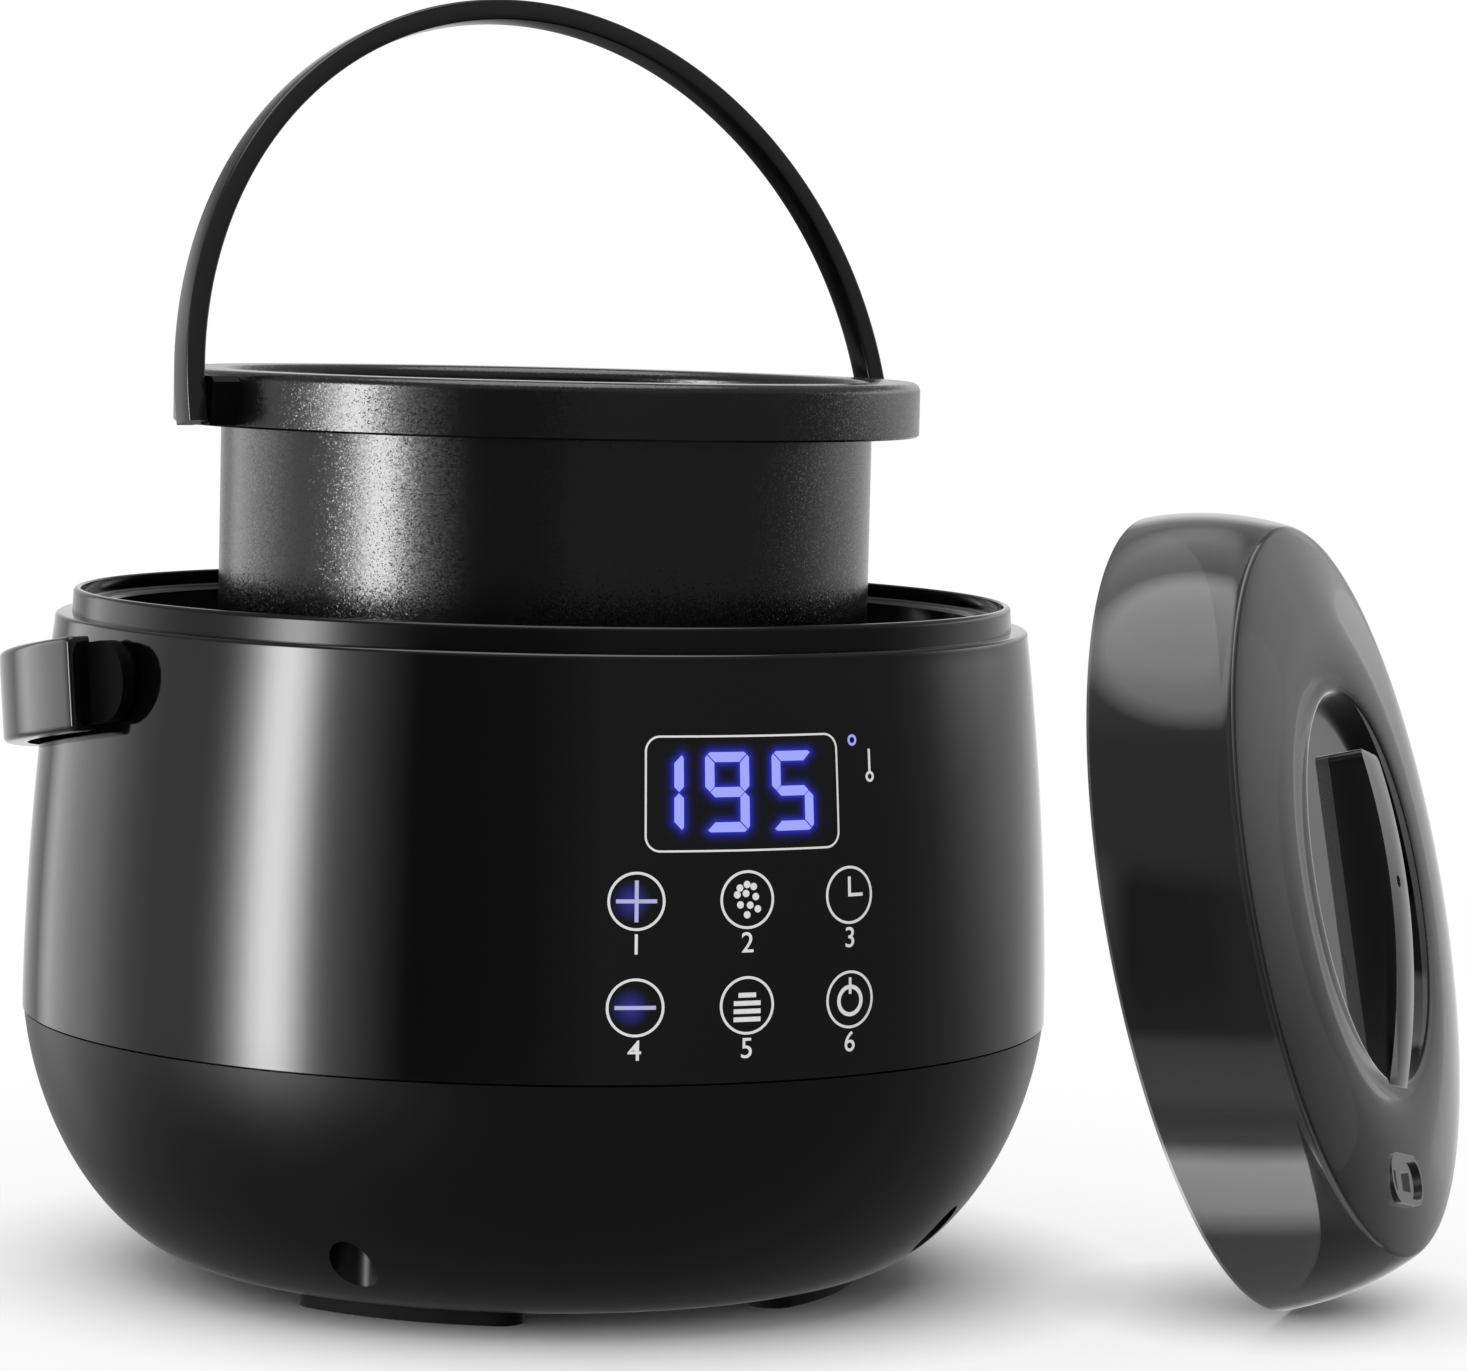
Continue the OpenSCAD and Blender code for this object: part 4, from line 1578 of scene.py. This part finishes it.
    def glow_sheet(self, name: str, middle: Point, half: Point,
                   light: Callable[[float, float], float], finish: Lit) -> bpy.types.Object:
        """A finely meshed patch whose glow attribute follows a rule.

        Args:
            name: The piece's name.
            middle: The patch's middle, in mm.
            half: Half its width and height, in mm.
            light: The glow at a place, from 0 to 1.
            finish: The finish.

        Returns:
            The patch.
        """
        flat = bmesh.new()
        layer = flat.verts.layers.float.new("glow")
        nx, ny = (max(2, round(2 * h / self.bloom_step)) for h in half)
        grid = [[flat.verts.new((middle[0] - half[0] + 2 * half[0] * i / nx,
                                 middle[1] - half[1] + 2 * half[1] * j / ny, 0.0))
                 for j in range(ny + 1)] for i in range(nx + 1)]
        for column in grid:
            for v in column:
                v[layer] = light(v.co.x, v.co.y)
        for i in range(nx):
            for j in range(ny):
                flat.faces.new([grid[i][j], grid[i + 1][j], grid[i + 1][j + 1], grid[i][j + 1]])
        return self.wrap(name, flat, finish, self.bloom_lift)

    def window_sheet(self) -> bpy.types.Object:
        """Builds the dark display window with the digits' painted bloom round them.

        Returns:
            The piece.
        """
        lines = [(Vector(line[i - 1]), Vector(line[i])) for line in self.segments()
                 for i in range(len(line))]

        def light(x: float, z: float) -> float:
            """Bloom at a place.

            Args:
                x: The place along the shell, in mm.
                z: Its height, in mm.

            Returns:
                The bloom, 1 on a segment's edge.
            """
            here, near = Vector((x, z)), 1e9
            for a, b in lines:
                t = max(0.0, min(1.0, (here - a).dot(b - a) / (b - a).length_squared))
                near = min(near, (here - a - (b - a) * t).length)
            return math.exp(-(near / self.bloom_reach) ** 1.1)

        angle, low, high = self.window
        half = (self.along(angle) - 1.0, (high - low) / 2 - 1.0)
        return self.glow_sheet("display_bloom", (0.0, (low + high) / 2), half, light, WINDOW_BLOOM)

    def frame_line(self) -> bmesh.types.BMesh:
        """Draws the rounded line round the display.

        Returns:
            The flat drawing, in mm.
        """
        angle, low, high = self.window
        half, r = self.along(angle), self.window_round
        points: list[Point] = []
        for (x, z), start in (((half - r, low + r), -90), ((half - r, high - r), 0),
                              ((-half + r, high - r), 90), ((-half + r, low + r), 180)):
            points += arc((x, z), r, start, start + 90, 10)
        flat = bmesh.new()
        self.band(flat, points, self.window_line)
        return flat

    def keys(self) -> list[Point]:
        """Middles of the six keys, row by row."""
        return [(self.along(a), z) for z in self.key_z for a in self.key_at]

    def pictograms(self) -> bmesh.types.BMesh:
        """Draws the signs of the keys that aren't lit, and the small gauge by the display.

        Returns:
            The flat drawing, in mm.
        """
        flat = bmesh.new()
        _, _, (clock_x, clock_z), _, (stack_x, stack_z), (start_x, start_z) = self.keys()
        self.stroke(flat, (clock_x, clock_z - 0.3), (clock_x, clock_z + 3.3), 0.62)
        self.stroke(flat, (clock_x + 0.31, clock_z), (clock_x + 3.0, clock_z), 0.6)
        for i, half in enumerate((2.6, 2.6, 2.6, 1.7)):
            z = stack_z - 2.5 + 1.45 * i
            self.stroke(flat, (stack_x - half, z), (stack_x + half, z), 0.85)
        self.stroke(flat, (start_x, start_z + 1.0), (start_x, start_z + 4.0), 0.55)
        self.band(flat, arc((start_x, start_z - 0.2), 2.5, 0, 352, 44), 0.75)
        gauge, (bulb, low, high) = self.along(self.gauge_at), self.gauge_z
        radius, width = self.gauge_ring
        self.stroke(flat, (gauge, low), (gauge, high), width)
        self.band(flat, arc((gauge, bulb), radius, 0, 342, 19), width)
        return flat

    def numbers(self) -> bpy.types.Object:
        """Builds the numbers 1 to 6 under the keys.

        Returns:
            The piece.
        """
        flat = bmesh.new()
        for number, (x, z) in enumerate(self.keys(), 1):
            figure = bpy.data.curves.new("number", "FONT")
            figure.body, figure.size, figure.align_x = str(number), self.figure_size, "CENTER"
            figure.offset = 0.02
            holder = bpy.data.objects.new("number", figure)
            bpy.context.scene.collection.objects.link(holder)
            graph = bpy.context.evaluated_depsgraph_get()
            mesh = bpy.data.meshes.new_from_object(holder.evaluated_get(graph))
            mesh.transform(Matrix.Translation((x, z - self.figure_drop, 0.0)))
            flat.from_mesh(mesh)
            bpy.data.objects.remove(holder)
            bpy.data.curves.remove(figure)
            bpy.data.meshes.remove(mesh)
        bmesh.ops.remove_doubles(flat, verts=flat.verts, dist=1e-4)
        return self.wrap("key_numbers", flat, GLOWING_PRINT)

    def lit_stroke(self, name: str, start: Point, end: Point, lift: float) -> bpy.types.Object:
        """Builds one lit line of a key's sign.

        Args:
            name: The piece's name.
            start: One end of its middle line, in mm.
            end: The other end.
            lift: How far it stands off the shell, in mm.

        Returns:
            The piece.
        """
        flat = bmesh.new()
        self.stroke(flat, start, end, self.sign_line)
        return self.wrap(name, flat, KEY_SIGN, lift)

    def key_bloom(self, name: str, middle: Point) -> bpy.types.Object:
        """Builds the soft light behind a key's sign.

        Args:
            name: The piece's name.
            middle: The light's middle, in mm.

        Returns:
            The piece.
        """
        half = self.sign_half

        def light(x: float, z: float) -> float:
            """Bloom at a place."""
            away = math.hypot(x - middle[0], z - middle[1])
            return max(0.0, 1.0 - away / half) ** 1.2

        return self.glow_sheet(name, middle, (half, half), light, KEY_GLOW)

    def build(self) -> None:
        """Builds and dresses every mark."""
        pieces = [self.window_sheet(), self.lit_digits(),
                  self.wrap("display_line", self.frame_line(), GLOWING_PRINT)]
        keys, half = self.keys(), self.sign_half
        rings = self.stamped("rings", keys, self.key_r, self.key_line, 72)
        pieces.append(self.wrap("key_rings", rings, GLOWING_PRINT))
        (plus_x, plus_z), (x, z) = keys[:2]
        places = [(x + a, z + b) for a, b in self.grains]
        grains = self.stamped("grains", places, *self.grain_ring, 16)
        pieces.append(self.wrap("key_grains", grains, GLOWING_PRINT))
        pieces += [self.wrap("key_signs", self.pictograms(), GLOWING_PRINT), self.numbers()]
        for name, (x, z) in (("up", keys[0]), ("down", keys[3])):
            pieces.append(self.key_bloom("key_bloom_" + name, (x + self.bloom_shift, z)))
            pieces.append(self.lit_stroke("key_sign_" + name, (x - half, z), (x + half, z),
                                          self.sign_lift))
        pieces.append(self.lit_stroke("key_sign_cross", (plus_x, plus_z - half),
                                      (plus_x, plus_z + half), self.cross_lift))
        at, height = self.degree_at
        degree = self.stamped("degree", [(self.along(at), height)], *self.degree_ring, 28)
        pieces.append(self.wrap("degree_mark", degree, LIT_DIGIT))
        for piece in pieces:
            self.keep(piece, "base", "gloss_black")


@dataclass
class Fittings(SubAssembly):
    """The CAD pieces that keep their shape and get a finish."""

    def build(self) -> None:
        """Dresses the CAD nodes."""
        finishes = {
            GLOSS_BLACK: ("bail_ears",), VENT_BLACK: ("steam_vent",),
            SATIN_BLACK: ("power_inlet",), MATT_BLACK: ("bush_left", "bush_right"),
            RUBBER: ("feet", "touch_pads"), ALUMINIUM: ("heat_chamber", "heater_plate"),
            STEEL: ("heating_element", "temp_sensor", "thermal_fuse", "base_screws",
                    "chamber_screws", "board_screws", "pivot_screws"),
            FIBRE: ("insulation_sleeve",), BOARD: ("control_board", "power_board"),
            PART_DARK: ("display_module", "transformer", "relay")}
        for finish, names in finishes.items():
            for name in names:
                node = bpy.data.objects[name]
                for slot in node.material_slots:
                    slot.material = finish.material()
                self.made.append(node)
        # The vent follows the lid's shell, which glossy rays don't see.
        bpy.data.objects["steam_vent"].visible_glossy = False


# ---------------------------------------------------------------- camera and studio

@dataclass
class PhotoCamera:
    """The camera in the photograph's place."""

    yaw: float = 34.5
    away: float = 1024.2
    height: float = 195.0
    pan: float = 2.090
    pitch: float = 4.497
    roll: float = 1.357
    pixels: float = 5268.7
    frame_width: float = 1467.0

    def turned(self, right: float, ahead: float, up: float) -> Vector:
        """A vector along the photograph's axes, turned into the part's frame."""
        c, s = math.cos(math.radians(self.yaw)), math.sin(math.radians(self.yaw))
        return Vector((right * c + ahead * s, -right * s + ahead * c, up))

    def build(self) -> None:
        """Makes the camera and makes it the scene's own."""
        (c, s), (cp, sp), (cr, sr) = ((math.cos(math.radians(a)), math.sin(math.radians(a)))
                                      for a in (self.pan, self.pitch, self.roll))
        across, upward = self.turned(c, -s, 0), self.turned(s * sp, c * sp, cp)
        ahead = self.turned(s * cp, c * cp, -sp)
        x_axis, y_axis = cr * across + sr * upward, cr * upward - sr * across
        place = self.turned(0, -self.away, self.height) * MM
        data = bpy.data.cameras.new("photo_camera")
        data.sensor_width, data.sensor_fit = 36.0, "HORIZONTAL"
        data.lens = data.sensor_width * self.pixels / self.frame_width
        data.clip_start, data.clip_end = 0.05, 50.0
        camera = bpy.data.objects.new("photo_camera", data)
        bpy.context.scene.collection.objects.link(camera)
        turn = Matrix((x_axis, y_axis, -ahead)).transposed().to_4x4()
        camera.matrix_world = Matrix.Translation(place) @ turn
        bpy.context.scene.camera = camera


@dataclass
class Studio:
    """White sweep and soft boxes, seen in gloss as strips round the object."""

    camera: PhotoCamera
    left: tuple[Point, ...] = (
        (-180, 1.0), (-158, .6), (-148, .42), (-139, 1.84), (-126, 1.52), (-115, 1.4),
        (-110, 1.13), (-101, .77), (-93, .63), (-82, .71), (-78, 1.0), (-75, 1.64), (-72, 3.1),
        (-68, 7.1), (-65, 12.6), (-62, 16.0), (-59, 16.6), (-56, 13.5), (-53, 8.3), (-50, 3.8),
        (-47, 2.0), (-44, 1.3), (-38, .66), (-33, .3), (-28, .06), (0, .1))
    right: tuple[Point, ...] = (
        (0, .1), (14, .21), (86, .17), (99, .25), (111, .54), (125, .78), (149, .7), (160, .6),
        (180, .9))
    right_high: tuple[Point, ...] = (
        (0, .1), (14, .21), (86, .2), (96, .36), (102, .67), (108, 1.2), (114, 1.7), (125, 1.95),
        (134, 1.7), (144, 1.16), (180, 1.0))
    right_low: tuple[Point, ...] = (
        (0, .1), (14, .2), (86, .17), (105, .29), (114, .41), (124, .51), (133, .59), (143, .74),
        (156, 1.0))
    seam: float = 0.1
    ceiling: float = 0.36
    table: float = 0.2
    zenith: float = 2.6
    # Share of a painted white glow on the floor for camera rays.
    sweep: float = 0.78
    # Centre and distances in mm over which the painted glow fades in round the object and the
    # lid's foot.
    shadows: tuple[tuple[tuple[float, float, float], float, float], ...] = (
        ((0, 0, 0), 74, 120), ((104, -109, 0), 8, 50))
    floor_r: float = 6000.0

    @staticmethod
    def row(maker: Maker, fac: Sock, lights: Sequence[Point], start: float) -> Sock:
        """Light along one row of the surroundings.

        Args:
            maker: The world tree's maker.
            fac: The way round, from 0 at the row's start to 1 half a turn on.
            lights: Angle in degrees and strength of each light.
            start: The angle at which the row starts.

        Returns:
            The strength, as a number.
        """
        stops = [((a - start) / 180, (v, v, v)) for a, v in lights]
        return maker.node("ShaderNodeValToRGB", {"stops": stops}, {"Fac": fac}, "Color") * 1.0

    @staticmethod
    def rise(maker: Maker, value: Sock, low: float, high: float) -> Sock:
        """0 below the first value, 1 above the second."""
        return maker.node("ShaderNodeMapRange", {"clamp": True}, {
            "Value": value, "From Min": low, "From Max": high, "To Min": 0.0,
            "To Max": 1.0}, "Result")

    def surroundings(self, maker: Maker) -> Sock:
        """What gloss sees of the studio, by direction.

        Args:
            maker: The world tree's maker.

        Returns:
            The light's strength.
        """
        way = maker.node("ShaderNodeTexCoord", out="Generated")
        near = maker.dot(way, self.camera.turned(0, -1, 0))
        side = maker.dot(way, self.camera.turned(1, 0, 0))
        height = maker.dot(way, (0, 0, 1))
        fac = maker.maths("ARCTAN2", side, near) / math.pi
        left = self.row(maker, fac + 1.0, self.left, -180)
        low, middle, high = (self.row(maker, fac, lights, 0) for lights in
                             (self.right_low, self.right, self.right_high))
        lower, upper = self.rise(maker, height, -0.12, 0.0), self.rise(maker, height, 0.0, 0.17)
        right = low * (1 - lower) + middle * lower
        level = left + right * (1 - upper) + high * upper - self.seam
        top = self.rise(maker, height, 0.22, 0.38)
        below = self.rise(maker, height * -1.0, 0.12, 0.5)
        overhead = self.rise(maker, height, 0.86, 0.92)
        return (level * (1 - top) * (1 - below) + top * self.ceiling + below * self.table
                + overhead * self.zenith)

    def build(self) -> None:
        """Makes the world and the floor."""
        scene = bpy.context.scene
        scene.view_settings.view_transform = "Standard"
        world = bpy.data.worlds.new("studio")
        scene.world = world
        world.use_nodes = True
        world.cycles.sampling_method = "NONE"
        maker = Maker(world.node_tree)
        glossy = maker.node("ShaderNodeLightPath", out="Is Glossy Ray")
        plain = maker.node("ShaderNodeBackground", None, {"Color": WHITE, "Strength": 1.0})
        strips = maker.node("ShaderNodeBackground", None, {
            "Color": WHITE, "Strength": self.surroundings(maker)})
        maker.end("ShaderNodeOutputWorld", maker.node("ShaderNodeMixShader", None, {
            0: glossy, 1: plain, 2: strips}))
        self.floor()

    def _pale(self, maker: Maker, place: Sock) -> Sock:
        """Adds the floor's shader: white, clear to gloss, with a painted glow that fades the
        object's shadows.

        Args:
            maker: The material's maker.
            place: Object coordinates.

        Returns:
            The shader.
        """
        glossy, through, camera = (maker.node("ShaderNodeLightPath", out=f"Is {kind} Ray")
                                   for kind in ("Glossy", "Transmission", "Camera"))
        # A painted glow for camera rays, kept off near the object so that its rendered shadow
        # stays dark there.
        away = camera * self.sweep
        for centre, low, high in self.shadows:
            reach = maker.vector("DISTANCE", place, tuple(v * MM for v in centre), "Value")
            away = away * self.rise(maker, reach, low * MM, high * MM)
        white = maker.node("ShaderNodeBsdfDiffuse", None, {"Color": WHITE})
        lit = maker.node("ShaderNodeEmission", None, {"Color": WHITE, "Strength": 1.0})
        pale = maker.node("ShaderNodeMixShader", None, {0: away, 1: white, 2: lit})
        return maker.node("ShaderNodeMixShader", None, {
            0: maker.maths("MAXIMUM", glossy, through), 1: pale,
            2: maker.node("ShaderNodeBsdfTransparent")})

    def floor(self) -> bpy.types.Object:
        """Builds the pale floor, through which gloss and clear plastic see the white sweep.

        Returns:
            The floor.
        """
        work = bmesh.new()
        bmesh.ops.create_circle(work, cap_ends=True, radius=self.floor_r * MM, segments=96)
        material = new_material("studio_floor", self._pale)
        return Shape.link("studio_floor", Shape.mesh("studio_floor", work, material))


def main() -> None:
    """Builds the scene in order."""
    logging.basicConfig(level=logging.INFO, format="%(name)s: %(message)s")
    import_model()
    camera = PhotoCamera()
    camera.build()
    Studio(camera).build()
    shells = Shells()
    for group in (shells, Pot(), CarryHandle(), Lid(), ControlPanel(shells=shells), Fittings()):
        group.build()
        group.report()


if __name__ == "__main__":
    main()
